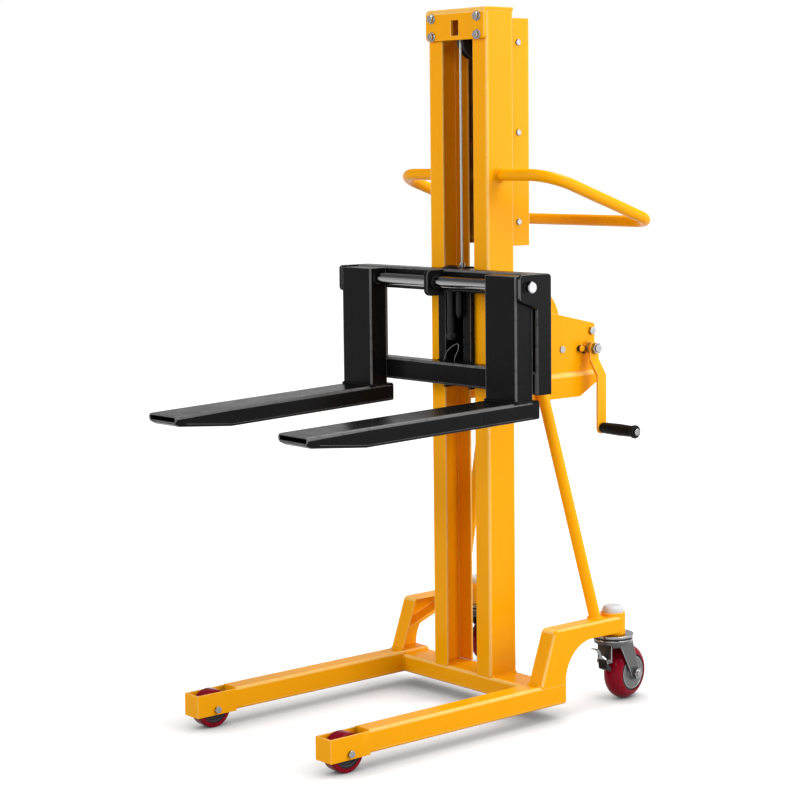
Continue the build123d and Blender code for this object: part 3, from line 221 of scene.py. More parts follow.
class EffectGroup(NodeGroup):
    """A shader group that several finishes place with their own values."""

    def __init__(self, name: str) -> None:
        """Starts a shader group of that name."""
        super().__init__(name, "ShaderNodeTree")

    def noise(self, scale: object, detail: float, rough: float = 0.5) -> Socket:
        """Adds noise on Object coordinates.

        Args:
            scale: Cells in a metre, a number or a socket.
            detail: Octaves.
            rough: Weight of the finer octaves.

        Returns:
            The noise value, 0 to 1.
        """
        place = self.node("ShaderNodeTexCoord").outputs["Object"]
        cells = {"Vector": place, "Scale": scale, "Detail": detail, "Roughness": rough}
        return self.node("ShaderNodeTexNoise", cells).outputs["Fac"]

    def mark(self, name: str) -> Socket:
        """Reads a mark that the faces carry."""
        return self.node("ShaderNodeAttribute", attribute_name=name).outputs["Fac"]


def make_edge_wear_and_highlight() -> Tree:
    """Builds the group that lightens broken edges in patches, partly as edge wear and partly as a painted
    highlight.

    Returns:
        The group: Mask is 1 on worn edges and on edges given a painted highlight.
    """
    group = EffectGroup("edge_wear")
    amount, scale = group.take("Amount", 0.5), group.take("Scale", 60.0)
    patches = group.spread(group.noise(scale, detail=4.0), low=0.05, high=0.5)
    # Mask on rounded edges, in patches: edge wear, and a painted highlight along the roundings.
    group.give("Mask", group.times(group.mark("rim"), patches, amount))
    return group.tree


def make_dust() -> Tree:
    """Builds the group that lays a little dust on faces that look up.

    Returns:
        The group: Mask is the dust's cover.
    """
    group = EffectGroup("settled_dust")
    amount = group.take("Amount", 0.1)
    normal = group.node("ShaderNodeNewGeometry").outputs["Normal"]
    height = group.node("ShaderNodeSeparateXYZ", {"Vector": normal}).outputs["Z"]
    upward = group.spread(height, low=0.2, high=0.95)
    cloud = group.spread(group.noise(9.0, detail=6.0, rough=0.6), low=0.3, high=0.75)
    group.give("Mask", group.times(upward, cloud, amount))
    return group.tree


def make_inner_shade() -> Tree:
    """Builds the group that paints shade, in patches, on faces that look into a hollow.

    Returns:
        The group: Mask is 1 where shade is painted.
    """
    group = EffectGroup("thin_paint")
    amount = group.take("Amount", 0.9)
    patches = group.spread(group.noise(14.0, detail=3.0), low=0.1, high=0.6)
    # Painted shade on the marked inner faces, in patches.
    group.give("Mask", group.times(group.mark("inside"), patches, amount))
    return group.tree


def make_tone() -> Tree:
    """Builds the group that varies a colour and a roughness over the surface.

    Returns:
        The group: Colour and Roughness.
    """
    middle, finer = 0.5, 3.0
    group = EffectGroup("surface_tone")
    colour = group.take("Colour", kind="NodeSocketColor")
    rough, vary, scale = group.take("Roughness", 0.4), group.take("Variation", 0.1), group.take("Scale", 12.0)
    cloud = group.math("SUBTRACT", group.noise(scale, detail=5.0, rough=0.6), middle)
    shade = group.math("ADD", 1.0, group.times(cloud, vary))
    tinted = group.node("ShaderNodeVectorMath", {"Vector": colour, "Scale": shade}, operation="SCALE")
    group.give("Colour", tinted.outputs[0], "NodeSocketColor")
    fine = group.math("SUBTRACT", group.noise(group.times(scale, finer), detail=4.0), middle)
    group.give("Roughness", group.math("ADD", rough, group.times(fine, vary)))
    return group.tree


def make_grain() -> Tree:
    """Builds the group for the fine relief of a sprayed, cast or moulded surface.

    Returns:
        The group: Height.
    """
    coarser = 0.12
    group = EffectGroup("fine_grain")
    scale, coarse = group.take("Scale", 700.0), group.take("Coarse", 0.3)
    small = group.noise(scale, detail=2.0)
    large = group.noise(group.times(scale, coarser), detail=2.0)
    group.give("Height", group.math("ADD", small, group.times(large, coarse)))
    return group.tree


@dataclass
class Effects:
    """The shader groups that the finishes share."""

    wear: Tree = field(default_factory=make_edge_wear_and_highlight)
    dust: Tree = field(default_factory=make_dust)
    thin: Tree = field(default_factory=make_inner_shade)
    tone: Tree = field(default_factory=make_tone)
    grain: Tree = field(default_factory=make_grain)


# Finishes


class Skin(Wiring):
    """The node tree of one finish."""

    def place(self, group: Tree, **values: object) -> bpy.types.Node:
        """Places a shared group with its own values by input name."""
        return self.node("ShaderNodeGroup", values, node_tree=group)

    def layer(self, mask: Socket, under: Socket, colour: Colour) -> Socket:
        """Lays a colour over the one under it, where a mask says."""
        parts = {"Factor": mask, "A": under, "B": (*colour, 1.0)}
        return self.node("ShaderNodeMix", parts, data_type="RGBA").outputs["Result"]


@dataclass(frozen=True)
class Finish:
    """A surface finish: its base colour, gloss, relief, what use does to it, the painted highlight on its
    rounded edges and the painted shade on its inner faces.
    """

    name: str
    colour: Colour
    roughness: float = 0.4
    metallic: float = 0.0
    specular: float = 0.5
    variation: float = 0.1
    cloud: float = 12.0
    grain: float = 700.0
    coarse: float = 0.3
    relief: float = 0.00004
    # Edge colour where the mask lies: partly worn paint, partly a painted highlight.
    wear: float = 0.4
    worn_and_highlight_colour: Colour = (0.8, 0.8, 0.8)
    dust: float = 0.05
    inner_shade_colour: Colour | None = None
    dust_colour: ClassVar[Colour] = (0.62, 0.60, 0.56)
    dulling: ClassVar[float] = 0.5

    def material(self, effects: Effects) -> bpy.types.Material:
        """Builds the material.

        Args:
            effects: The shared shader groups.

        Returns:
            The material.
        """
        made = bpy.data.materials.new(self.name)
        made.use_nodes = True
        skin = Skin(made.node_tree)
        tone = skin.place(effects.tone, Colour=(*self.colour, 1.0), Roughness=self.roughness,
                          Variation=self.variation, Scale=self.cloud)
        colour = tone.outputs["Colour"]
        # Painted shade: a dark colour on inner faces, where shade falls.
        if self.inner_shade_colour:
            colour = skin.layer(skin.place(effects.thin).outputs["Mask"], colour, self.inner_shade_colour)
        # Lighter colour on rounded edges: edge wear and a painted highlight.
        colour = skin.layer(skin.place(effects.wear, Amount=self.wear).outputs["Mask"], colour, self.worn_and_highlight_colour)
        dust = skin.place(effects.dust, Amount=self.dust).outputs["Mask"]
        height = skin.place(effects.grain, Scale=self.grain, Coarse=self.coarse).outputs["Height"]
        bump = skin.node("ShaderNodeBump", {"Distance": self.relief, "Strength": 1.0, "Height": height})
        shader = {"Metallic": self.metallic, "Specular IOR Level": self.specular,
                  "Base Color": skin.layer(dust, colour, self.dust_colour),
                  "Roughness": skin.math("MULTIPLY_ADD", dust, self.dulling, tone.outputs["Roughness"]),
                  "Normal": bump.outputs["Normal"]}
        for key, item in shader.items():
            skin.feed(item, made.node_tree.nodes["Principled BSDF"].inputs[key])
        return made


# Each edge colour lightens rounded edges, partly as wear and partly as a painted highlight; each inner shade
# colour paints shade on inner faces.
FINISHES: tuple[Finish, ...] = (
    Finish("yellow_paint", (0.93, 0.385, 0.001), roughness=0.25, specular=0.08, variation=0.05, grain=320.0,
           coarse=0.2, relief=0.00002, wear=0.6, worn_and_highlight_colour=(0.98, 0.66, 0.22), dust=0.004,
           inner_shade_colour=(0.10, 0.036, 0.001)),
    Finish("black_paint", (0.0055, 0.0055, 0.0058), roughness=0.27, specular=0.055, variation=0.15,
           grain=300.0, coarse=0.08, relief=0.000012, wear=0.9, worn_and_highlight_colour=(0.15, 0.15, 0.152), dust=0.004),
    Finish("zinc", (0.26, 0.26, 0.265), roughness=0.22, metallic=1.0, variation=0.12, cloud=70.0, grain=900.0,
           relief=0.00002, wear=0.6, worn_and_highlight_colour=(0.7, 0.7, 0.7), dust=0.02),
    Finish("caster_zinc", (0.085, 0.085, 0.088), roughness=0.3, metallic=0.35, specular=0.35, variation=0.1,
           cloud=25.0, grain=900.0, relief=0.00003, wear=0.9, worn_and_highlight_colour=(0.45, 0.45, 0.46), dust=0.01,
           inner_shade_colour=(0.008, 0.008, 0.008)),
    Finish("steel", (0.30, 0.30, 0.31), roughness=0.36, metallic=1.0, variation=0.2, cloud=50.0, grain=1200.0,
           relief=0.00003, wear=0.3, worn_and_highlight_colour=(0.7, 0.7, 0.7), dust=0.02),
    Finish("hard_chrome", (0.27, 0.27, 0.275), roughness=0.12, metallic=1.0, variation=0.05, cloud=30.0,
           grain=1500.0, relief=0.00001, wear=0.0, dust=0.02),
    Finish("rope_wire", (0.57, 0.60, 0.53), roughness=0.42, metallic=0.2, variation=0.3, cloud=150.0,
           grain=1800.0, relief=0.00003, wear=0.0, dust=0.05),
    Finish("red_polyurethane", (0.225, 0.001, 0.012), roughness=0.12, specular=0.08, variation=0.14,
           cloud=25.0, grain=900.0, relief=0.00003, wear=0.25, worn_and_highlight_colour=(0.30, 0.008, 0.022), dust=0.003),
    Finish("roller_core", (0.016, 0.016, 0.017), roughness=0.45, specular=0.2, variation=0.2, cloud=60.0,
           grain=700.0, relief=0.00008, wear=0.4, worn_and_highlight_colour=(0.1, 0.1, 0.1), dust=0.01),
    Finish("wheel_core", (0.12, 0.122, 0.125), roughness=0.36, metallic=0.3, specular=0.4, variation=0.12,
           cloud=40.0, grain=900.0, relief=0.00004, wear=0.3, worn_and_highlight_colour=(0.35, 0.35, 0.35), dust=0.01),
    Finish("white_plastic", (0.60, 0.622, 0.642), roughness=0.4, specular=0.25, variation=0.04, grain=900.0,
           relief=0.00003, wear=0.0, dust=0.03),
    Finish("black_plastic", (0.0065, 0.0065, 0.007), roughness=0.3, specular=0.06, variation=0.15,
           grain=700.0, relief=0.00006, wear=0.3, worn_and_highlight_colour=(0.04, 0.04, 0.04), dust=0.006),
    Finish("oiled_black", (0.006, 0.006, 0.0065), roughness=0.34, specular=0.2, variation=0.2, grain=900.0,
           relief=0.00004, wear=0.5, worn_and_highlight_colour=(0.06, 0.06, 0.06), dust=0.006),
)


@dataclass
class Palette:
    """Builds every finish once and hands out its material by name."""

    effects: Effects = field(default_factory=Effects)
    made: dict[str, bpy.types.Material] = field(default_factory=dict)

    def __post_init__(self) -> None:
        """Builds the materials."""
        for finish in FINISHES:
            self.made[finish.name] = finish.material(self.effects)

    def __getitem__(self, name: str) -> bpy.types.Material:
        """Gives the material of a finish."""
        return self.made[name]


# Meshes


def add_object(name: str, data: bpy.types.ID) -> Piece:
    """Links data into the scene as an object at the origin.

    Args:
        name: Object name.
        data: Mesh, curve, lamp or camera data.

    Returns:
        The object.
    """
    made = bpy.data.objects.new(name, data)
    bpy.context.scene.collection.objects.link(made)
    return made


def baked(source: Piece) -> bpy.types.Mesh:
    """Turns an object with its modifiers into a plain mesh.

    Args:
        source: Object to evaluate; it is removed afterwards.

    Returns:
        The evaluated mesh.
    """
    graph = bpy.context.evaluated_depsgraph_get()
    shape = source.evaluated_get(graph)
    mesh = bpy.data.meshes.new_from_object(shape, preserve_all_data_layers=True, depsgraph=graph)
    bpy.data.objects.remove(source)
    return mesh


def slot_of(node: str) -> str:
    """Finds the material slot of a CAD node."""
    return next(row["material_slot"] for row in frame["record"]["subparts"] if row["node"] == node)


def body_of(node: str) -> str:
    """Finds the body that carries a CAD node."""
    return frame["nodes"][node]["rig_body"]


@dataclass(frozen=True)
class EdgeBreaker:
    """Rounds the sharp edges of a copy of a CAD node, as a plate's edges are broken before paint.

    Attributes:
        width: Width of a broken edge, in metres.
        length: Longest run between cuts across a long piece, or 0 for no cuts.
        segments: Facets across a broken edge.
        corner: Degrees past which an edge is sharp.
        strip: Widest face that counts as part of a rounding.
        shortest: Shortest face that does.
        beside: Share of a face's longest edge that its other long edges have.
        bend: Degrees between neighbouring faces of a rounding.
        tube: A strip with a normal further than this from its first one goes round a tube.
        underside: Faces that look further down than this get no edge wear or painted highlight.
        facing: How closely a face follows the true form that shades it.
        merge: Distance within which points become one.
        cut: Distance within which a cut takes a point as its own.
        level: Degrees within which triangles become one face.
        even: Weight of a face's area in its shading.
    """

    width: float
    length: float = 0.0
    segments: int = 2
    corner: float = 34.0
    strip: float = 0.006
    shortest: float = 0.02
    beside: float = 0.5
    bend: Pair = (4.0, 50.0)
    tube: float = -0.3
    underside: float = -0.2
    facing: float = 0.5
    merge: float = 2e-6
    cut: float = 1e-5
    level: float = 0.3
    even: int = 50

    def rounding(self, mesh: bpy.types.Mesh) -> list[float]:
        """Finds the narrow strips of rounded edges, but not the facets of whole tubes.

        Strips are gathered in the order of their faces, so that every run finds the same ones.

        Args:
            mesh: Finished mesh.

        Returns:
            1 for each face of a rounding and 0 for the others.
        """
        work = bmesh.new()
        work.from_mesh(mesh)
        sides = {}
        for face in work.faces:
            long = max(edge.calc_length() for edge in face.edges)
            if long < self.shortest or face.normal.z < self.underside or face.calc_area() / long > self.strip:
                continue
            along = [edge for edge in face.edges
                     if edge.calc_length() > self.beside * long and len(edge.link_faces) == 2]
            turns = [math.degrees(edge.calc_face_angle(0.0)) for edge in along]
            if any(self.bend[0] < turn < self.bend[1] for turn in turns):
                sides[face] = along
        marks = [0.0] * len(work.faces)
        taken = set()
        for first in sides:
            strip = [] if first in taken else [first]
            taken.add(first)
            for face in strip:
                for other in (other for edge in sides[face] for other in edge.link_faces):
                    if other in sides and other not in taken:
                        taken.add(other)
                        strip.append(other)
            if all(face.normal.dot(first.normal) > self.tube for face in strip):
                for face in strip:
                    marks[face.index] = 1.0
        work.free()
        return marks

    def divide(self, work: bmesh.types.BMesh) -> None:
        """Cuts a long piece across its Y axis, so that its rounded edges shade evenly.

        Args:
            work: Mesh in work.
        """
        ends = [vert.co.y for vert in work.verts]
        low, high = min(ends), max(ends)
        for step in range(1, math.ceil((high - low) / self.length)):
            bmesh.ops.bisect_plane(work, geom=work.verts[:] + work.edges[:] + work.faces[:], dist=self.cut,
                                   plane_co=(0, low + step * self.length, 0), plane_no=(0, 1, 0))

    def merged(self, node: str, keep: Sequence[Box]) -> bpy.types.Mesh:
        """Copies a node's mesh with its triangles merged and its sharp edges marked.

        Args:
            node: CAD node.
            keep: Boxes, in metres, whose edges stay sharp.

        Returns:
            The merged mesh.
        """
        work = bmesh.new()
        work.from_mesh(frame["nodes"][node].data)
        bmesh.ops.remove_doubles(work, verts=work.verts, dist=self.merge)
        bmesh.ops.dissolve_limit(work, angle_limit=math.radians(self.level), use_dissolve_boundaries=False,
                                 verts=work.verts, edges=work.edges)
        if self.length:
            self.divide(work)
        weight = work.edges.layers.float.new("bevel_weight_edge")
        for edge in work.edges:
            if len(edge.link_faces) == 2 and edge.calc_face_angle(0.0) > math.radians(self.corner):
                shut = any(all(low[i] <= vert.co[i] <= high[i] for vert in edge.verts for i in range(3))
                           for low, high in keep)
                edge[weight] = 0.0 if shut else 1.0
        mesh = bpy.data.meshes.new(node + "_finished")
        work.to_mesh(mesh)
        work.free()
        return mesh

    def smooth(self, mesh: bpy.types.Mesh, form: TrueForm, wear_and_highlight_marks: list[float]) -> None:
        """Shades a rounding by its true form, whatever triangles stand for it, and marks it for the edge wear
        and painted highlight.

        Args:
            mesh: Finished mesh.
            form: Gives the true normal at a point of the rounding.
            wear_and_highlight_marks: Edge marks by face, for the edge wear and painted highlight, to add to.
        """
        normals = [Vector(corner.vector) for corner in mesh.corner_normals]
        for face in mesh.polygons:
            true = form(face.center)
            if true is not None and true.dot(face.normal) > self.facing:
                wear_and_highlight_marks[face.index] = 1.0
            for loop, vertex in zip(face.loop_indices, face.vertices):
                true = form(mesh.vertices[vertex].co)
                if true is not None and true.dot(face.normal) > self.facing:
                    normals[loop] = true
        mesh.normals_split_custom_set(normals)

    def bevelled(self, node: str, mesh: bpy.types.Mesh, paint: bpy.types.Material) -> bpy.types.Mesh:
        """Breaks the marked edges of a mesh.

        Args:
            node: CAD node that the mesh is a copy of.
            mesh: Merged mesh.
            paint: Its finish.

        Returns:
            The mesh, with the broken edges in the second of two material slots.
        """
        mesh.materials.clear()
        mesh.materials.append(paint)
        mesh.materials.append(paint)
        mesh.polygons.foreach_set("material_index", [0] * len(mesh.polygons))
        mesh.polygons.foreach_set("use_smooth", [True] * len(mesh.polygons))
        rough = add_object(node + "_rough", mesh)
        bevel = rough.modifiers.new("broken_edges", "BEVEL")
        bevel.width = self.width
        bevel.segments = self.segments
        bevel.limit_method = "WEIGHT"
        bevel.use_clamp_overlap = False
        bevel.material = 1
        weigh = rough.modifiers.new("even_shading", "WEIGHTED_NORMAL")
        weigh.keep_sharp = False
        weigh.weight = self.even
        return baked(rough)

    def soften(self, node: str, paint: bpy.types.Material, keep: Sequence[Box] = (),
               thin: FaceTest | None = None, form: TrueForm | None = None) -> Piece:
        """Makes the finished piece that stands for a CAD node.

        Args:
            node: CAD node.
            paint: Its finish.
            keep: Boxes whose edges stay sharp.
            thin: Test of a face's centre and normal for faces that get painted shade.
            form: True normal at a point of a long rounding.

        Returns:
            The piece, riding on the node's body.
        """
        done = self.bevelled(node, self.merged(node, keep), paint)
        rim = done.attributes.new("rim", "FLOAT", "FACE")
        on_edge = [0] * len(done.polygons)
        done.polygons.foreach_get("material_index", on_edge)
        # Rounded edges carry the edge wear and the painted highlight of the finish.
        wear_and_highlight_marks = [max(float(edge), mark) for edge, mark in zip(on_edge, self.rounding(done))]
        if form is not None:
            self.smooth(done, form, wear_and_highlight_marks)
        rim.data.foreach_set("value", [mark * (face.normal.z >= self.underside)
                                       for mark, face in zip(wear_and_highlight_marks, done.polygons)])
        # Faces marked here get painted shade in the finish.
        inside = done.attributes.new("inside", "FLOAT", "FACE")
        if thin is not None:
            inside.data.foreach_set("value", [float(thin(face.center, face.normal)) for face in done.polygons])
        done.polygons.foreach_set("material_index", [0] * len(done.polygons))
        done.materials.pop(index=1)
        done.name = node + "_finished"
        piece = add_object(node + "_finished", done)
        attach(piece, body_of(node))
        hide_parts(node)
        slot_of(node)
        return piece


def swing(pivot: Vector, degrees: float) -> Matrix:
    """Gives a turn about the upright line through a point."""
    turn = Matrix.Rotation(math.radians(degrees), 4, "Z")
    return Matrix.Translation(pivot) @ turn @ Matrix.Translation(-pivot)


def arc(centre: Pair, radius: float, start: float, end: float, steps: int) -> list[Pair]:
    """Lists points of an arc from a start angle to an end angle in degrees."""
    turn = [math.radians(start + (end - start) * step / steps) for step in range(steps + 1)]
    return [(centre[0] + radius * math.cos(a), centre[1] + radius * math.sin(a)) for a in turn]


def round_rod(centre: Pair, radius: float, facets: int = 12) -> list[Pair]:
    """Gives the section of a round rod."""
    return arc(centre, radius, 0, 360 - 360 / facets, facets - 1)


def oblong(along: Pair, out: Pair) -> list[Pair]:
    """Gives an oblong section between two places along an axis and two radii."""
    return [(along[0], out[0]), (along[1], out[0]), (along[1], out[1]), (along[0], out[1])]


def turned(name: str, profile: Sequence[Pair], centre: Vector, axis: Turn, paint: bpy.types.Material,
           swung: Matrix) -> Piece:
    """Turns a closed profile round an axis.

    Args:
        name: Piece name.
        profile: Points along the axis and out from it, in millimetres, round the section.
        centre: Where the axis and the profile's zero meet.
        axis: Direction of the axis.
        paint: Finish.
        swung: Where the finished ring is swung to.

    Returns:
        The ring.
    """
    verts: list[Vector] = []
    faces: list[tuple[int, ...]] = []
    count = len(profile)
    for step in range(RING_FACETS):
        angle = 2 * math.pi * step / RING_FACETS
        for along, out in profile:
            side = (out / MM * math.cos(angle), out / MM * math.sin(angle))
            point = (along / MM, *side) if axis is Turn.ACROSS else (*side, along / MM)
            verts.append(swung @ (centre + Vector(point)))
        this, after = step * count, (step + 1) % RING_FACETS * count
        for k in range(count):
            n = (k + 1) % count
            faces.append((this + k, this + n, after + n, after + k))
    mesh = bpy.data.meshes.new(name)
    mesh.from_pydata(verts, [], faces)
    work = bmesh.new()
    work.from_mesh(mesh)
    bmesh.ops.recalc_face_normals(work, faces=work.faces)
    work.to_mesh(mesh)
    work.free()
    mesh.polygons.foreach_set("use_smooth", [True] * len(mesh.polygons))
    mesh.set_sharp_from_angle(angle=math.radians(RING_CORNER))
    mesh.materials.append(paint)
    return add_object(name, mesh)


# Geometry Nodes


class PathTree(NodeGroup):
    """A Geometry Nodes tree that sweeps a section along the curve it is given."""

    def __init__(self, name: str) -> None:
        """Starts a tree of that name with a curve to follow."""
        super().__init__(name, "GeometryNodeTree")
        self.curve = self.take("Geometry", kind="NodeSocketGeometry")

    def even(self, step: Socket) -> Socket:
        """Divides the curve into steps of one length."""
        pace = {"Curve": self.curve, "Length": step}
        return self.node("GeometryNodeResampleCurve", pace, mode="LENGTH").outputs[0]

    def circle(self, facets: int, radius: Socket) -> Socket:
        """Makes a round section."""
        size = {"Resolution": facets, "Radius": radius}
        return self.node("GeometryNodeCurvePrimitiveCircle", size).outputs[0]

    def along(self) -> Socket:
        """Reads the distance from the curve's start."""
        return self.node("GeometryNodeSplineParameter").outputs["Length"]

    def place(self) -> Socket:
        """Reads a point's position."""
        return self.node("GeometryNodeInputPosition").outputs[0]

    def sweep(self, curve: Socket, section: Socket, scale: Socket | None = None) -> Tree:
        """Ends the tree in the sweep, smooth shading, Realize Instances and Set Material.

        Args:
            curve: The path.
            section: What is swept.
            scale: Size of the section along the path, where it changes.

        Returns:
            The finished tree.
        """
        finish = self.take("Finish", kind="NodeSocketMaterial")
        parts = {"Curve": curve, "Profile Curve": section, "Fill Caps": True}
        if scale is not None:
            parts["Scale"] = scale
        swept = self.node("GeometryNodeCurveToMesh", parts)
        smooth = self.node("GeometryNodeSetShadeSmooth", {"Geometry": swept.outputs[0]})
        real = self.node("GeometryNodeRealizeInstances", {"Geometry": smooth.outputs[0]})
        dressed = self.node("GeometryNodeSetMaterial", {"Geometry": real.outputs[0], "Material": finish})
        self.give("Geometry", dressed.outputs[0], "NodeSocketGeometry")
        return self.tree


def make_rope_tree() -> Tree:
    """Builds the tree of a stranded wire rope: a lobed section that twists along its path.

    Returns:
        The tree.
    """
    facets, valley, half = 36, 0.72, 0.5
    path = PathTree("stranded_rope")
    radius, strands = path.take("Radius", 0.003), path.take("Strands", 6.0)
    lay, step = path.take("Lay Length", 0.03), path.take("Step", 0.0015)
    turn = path.times(path.math("DIVIDE", path.along(), lay), math.tau)
    twisted = path.node("GeometryNodeSetCurveTilt", {"Curve": path.even(step), "Tilt": turn})
    place = path.place()
    split = path.node("ShaderNodeSeparateXYZ", {"Vector": place})
    angle = path.math("ARCTAN2", split.outputs["Y"], split.outputs["X"])
    lobe = path.math("ABSOLUTE", path.math("COSINE", path.times(angle, path.times(strands, half))))
    swell = path.math("ADD", valley, path.times(lobe, 1 - valley))
    pushed = path.node("ShaderNodeVectorMath", {"Vector": place, "Scale": swell}, operation="SCALE")
    ring = {"Geometry": path.circle(facets, radius), "Position": pushed.outputs[0]}
    lobed = path.node("GeometryNodeSetPosition", ring)
    return path.sweep(twisted.outputs[0], lobed.outputs[0])


def make_weld_tree() -> Tree:
    """Builds the tree of a painted weld bead: a rounded seam with ripples.

    Returns:
        The tree.
    """
    facets, pace, lumps = 10, 0.34, 160.0
    body, ripple, lump = 0.86, 0.09, 0.28
    path = PathTree("weld_bead")
    radius, pitch = path.take("Radius", 0.003), path.take("Ripple Pitch", 0.0035)
    seed = path.take("Seed", 3.0)
    wave = path.math("SINE", path.times(path.math("DIVIDE", path.along(), pitch), math.tau))
    cells = {"Vector": path.place(), "W": seed, "Scale": lumps, "Detail": 1.0}
    cloud = path.node("ShaderNodeTexNoise", cells, noise_dimensions="4D")
    rippled = path.math("ADD", body, path.times(wave, ripple))
    swell = path.math("ADD", rippled, path.times(cloud.outputs["Fac"], lump))
    return path.sweep(path.even(path.times(pitch, pace)), path.circle(facets, radius), swell)


def make_wire_tree() -> Tree:
    """Builds the tree of a plain round wire.

    Returns:
        The tree.
    """
    facets = 12
    path = PathTree("round_wire")
    radius, step = path.take("Radius", 0.001), path.take("Step", 0.002)
    return path.sweep(path.even(step), path.circle(facets, radius))


@dataclass
class Workshop:
    """What every sub-assembly draws on: the finishes and the trees that grow along paths."""

    palette: Palette = field(default_factory=Palette)
    rope: Tree = field(default_factory=make_rope_tree)
    weld: Tree = field(default_factory=make_weld_tree)
    wire: Tree = field(default_factory=make_wire_tree)

    def grow(self, name: str, runs: Sequence[Sequence[Vector]], tree: Tree, body: str | None, slot: str,
             closed: bool = False, **values: float) -> Piece:
        """Runs a tree along paths and keeps the result as one plain mesh.

        Args:
            name: Piece name.
            runs: Points of each path.
            tree: The tree.
            body: Body that the piece rides on, or none.
            slot: Material slot.
            closed: Whether the paths are rings.
            values: Tree inputs, with spaces as underscores.

        Returns:
            The piece.
        """
        data = bpy.data.curves.new(name + "_line", "CURVE")
        data.dimensions = "3D"
        for run in runs:
            spline = data.splines.new("POLY")
            spline.points.add(len(run) - 1)
            for place, point in zip(spline.points, run):
                place.co = (*point, 1.0)
            spline.use_cyclic_u = closed
        source = add_object(name + "_line", data)
        modifier = source.modifiers.new("grow", "NODES")
        modifier.node_group = tree
        sockets = {item.name.replace(" ", "_"): item.identifier for item in tree.interface.items_tree
                   if item.item_type == "SOCKET" and item.in_out == "INPUT"}
        modifier[sockets["Finish"]] = self.palette[slot]
        for key, value in values.items():
            modifier[sockets[key]] = value
        mesh = baked(source)
        mesh.name = name
        piece = add_object(name, mesh)
        if body:
            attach(piece, body)
        return piece

    def bead(self, name: str, runs: Sequence[Sequence[Vector]], body: str, slot: str, radius: float,
             closed: bool = False) -> Piece:
        """Lays painted weld beads of a radius in metres along seams, as one piece."""
        return self.grow(name, runs, self.weld, body, slot, closed, Radius=radius)

    def ring(self, name: str, profile: Sequence[Pair], centre: Vector, axis: Turn, body: str, slot: str,
             finish: str | None = None, swung: Matrix = Matrix(), node: str | None = None) -> Piece:
        """Turns a ring that rides on a body.

        Args:
            name: Piece name.
            profile: Its section, in millimetres along the axis and out from it.
            centre: Where the axis and the profile's zero meet.
            axis: Direction of the axis.
            body: Body that it rides on.
            slot: Material slot.
            finish: Finish, where it isn't the slot's own.
            swung: Where it is swung to.
            node: CAD node that it stands for, if any.

        Returns:
            The ring.
        """
        piece = turned(name, profile, centre, axis, self.palette[finish or slot], swung)
        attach(piece, body)
        if node:
            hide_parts(node)
        return piece


# Sub-assemblies


@dataclass
class SubAssembly:
    """A group of pieces that is built from CAD nodes and then dressed.

    Attributes:
        shop: Finishes and trees.
        edges: Width of the broken edges by CAD node, in millimetres.
        finishes: Finish by CAD node, where it isn't its slot's own.
        keep: Boxes whose edges stay sharp, by CAD node.
        thin: Test for faces that get painted shade, by CAD node.
        lengths: Longest run between cuts across a long piece, in metres.
        forms: True form of long roundings, by CAD node.
    """

    shop: Workshop
    edges: ClassVar[dict[str, float]] = {}
    finishes: ClassVar[dict[str, str]] = {}
    keep: ClassVar[dict[str, tuple[Box, ...]]] = {}
    thin: ClassVar[dict[str, FaceTest]] = {}
    lengths: ClassVar[dict[str, float]] = {}
    forms: ClassVar[dict[str, TrueForm]] = {}

    def build(self) -> list[Piece]:
        """Makes the finished piece of each CAD node in the group.

        Returns:
            The pieces.
        """
        made = []
        for node, width in self.edges.items():
            paint = self.shop.palette[self.finishes.get(node, slot_of(node))]
            tool = EdgeBreaker(width / MM, self.lengths.get(node, 0.0))
            made.append(tool.soften(node, paint, self.keep.get(node, ()), self.thin.get(node),
                                    self.forms.get(node)))
        return made

    def dress(self) -> list[Piece]:
        """Adds what the CAD leaves to the eye, here nothing."""
        return []


def both(**sizes: float) -> dict[str, float]:
    """Gives the left and the right node of each name its size."""
    return {f"{name}_{side}": size for name, size in sizes.items() for side, _ in SIDES}


def side_box(sign: int, across: Pair, along: Pair, height: Pair) -> Box:
    """Gives a box on one side of the part by its ends across, along and up, in millimetres on the right."""
    low, high = sorted(sign * x for x in across)
    return tuple(spot(low, along[0], height[0])), tuple(spot(high, along[1], height[1]))


def rounded(x: float, z: float, half: float, radius: float) -> Vector | None:
    """Gives the true normal on the rounded upper edges of a tube that runs along Y.

    Args:
        x: Millimetres from the tube's middle.
        z: Millimetres above the tube's top.
        half: Half the tube's width.
        radius: Radius of the rounding.

    Returns:
        The normal, or none off the rounding.
    """
    slack, core = 0.05, 0.5 * radius
    out, up = abs(x) - half + radius, z + radius
    if min(out, up) < -slack or max(out, up) < core:
        return None
    return Vector((math.copysign(max(out, 0.0), x), 0.0, max(up, 0.0))).normalized()


FLUSH_SEAM = ((250.0, 259.0), (3.0, 81.0), (76.0, 84.0))  # leg to gooseneck, ground flush
BOX_JOINT = ((206.0, 260.0), (-491.0, -482.0), (27.0, 84.0))  # leg to its roller box


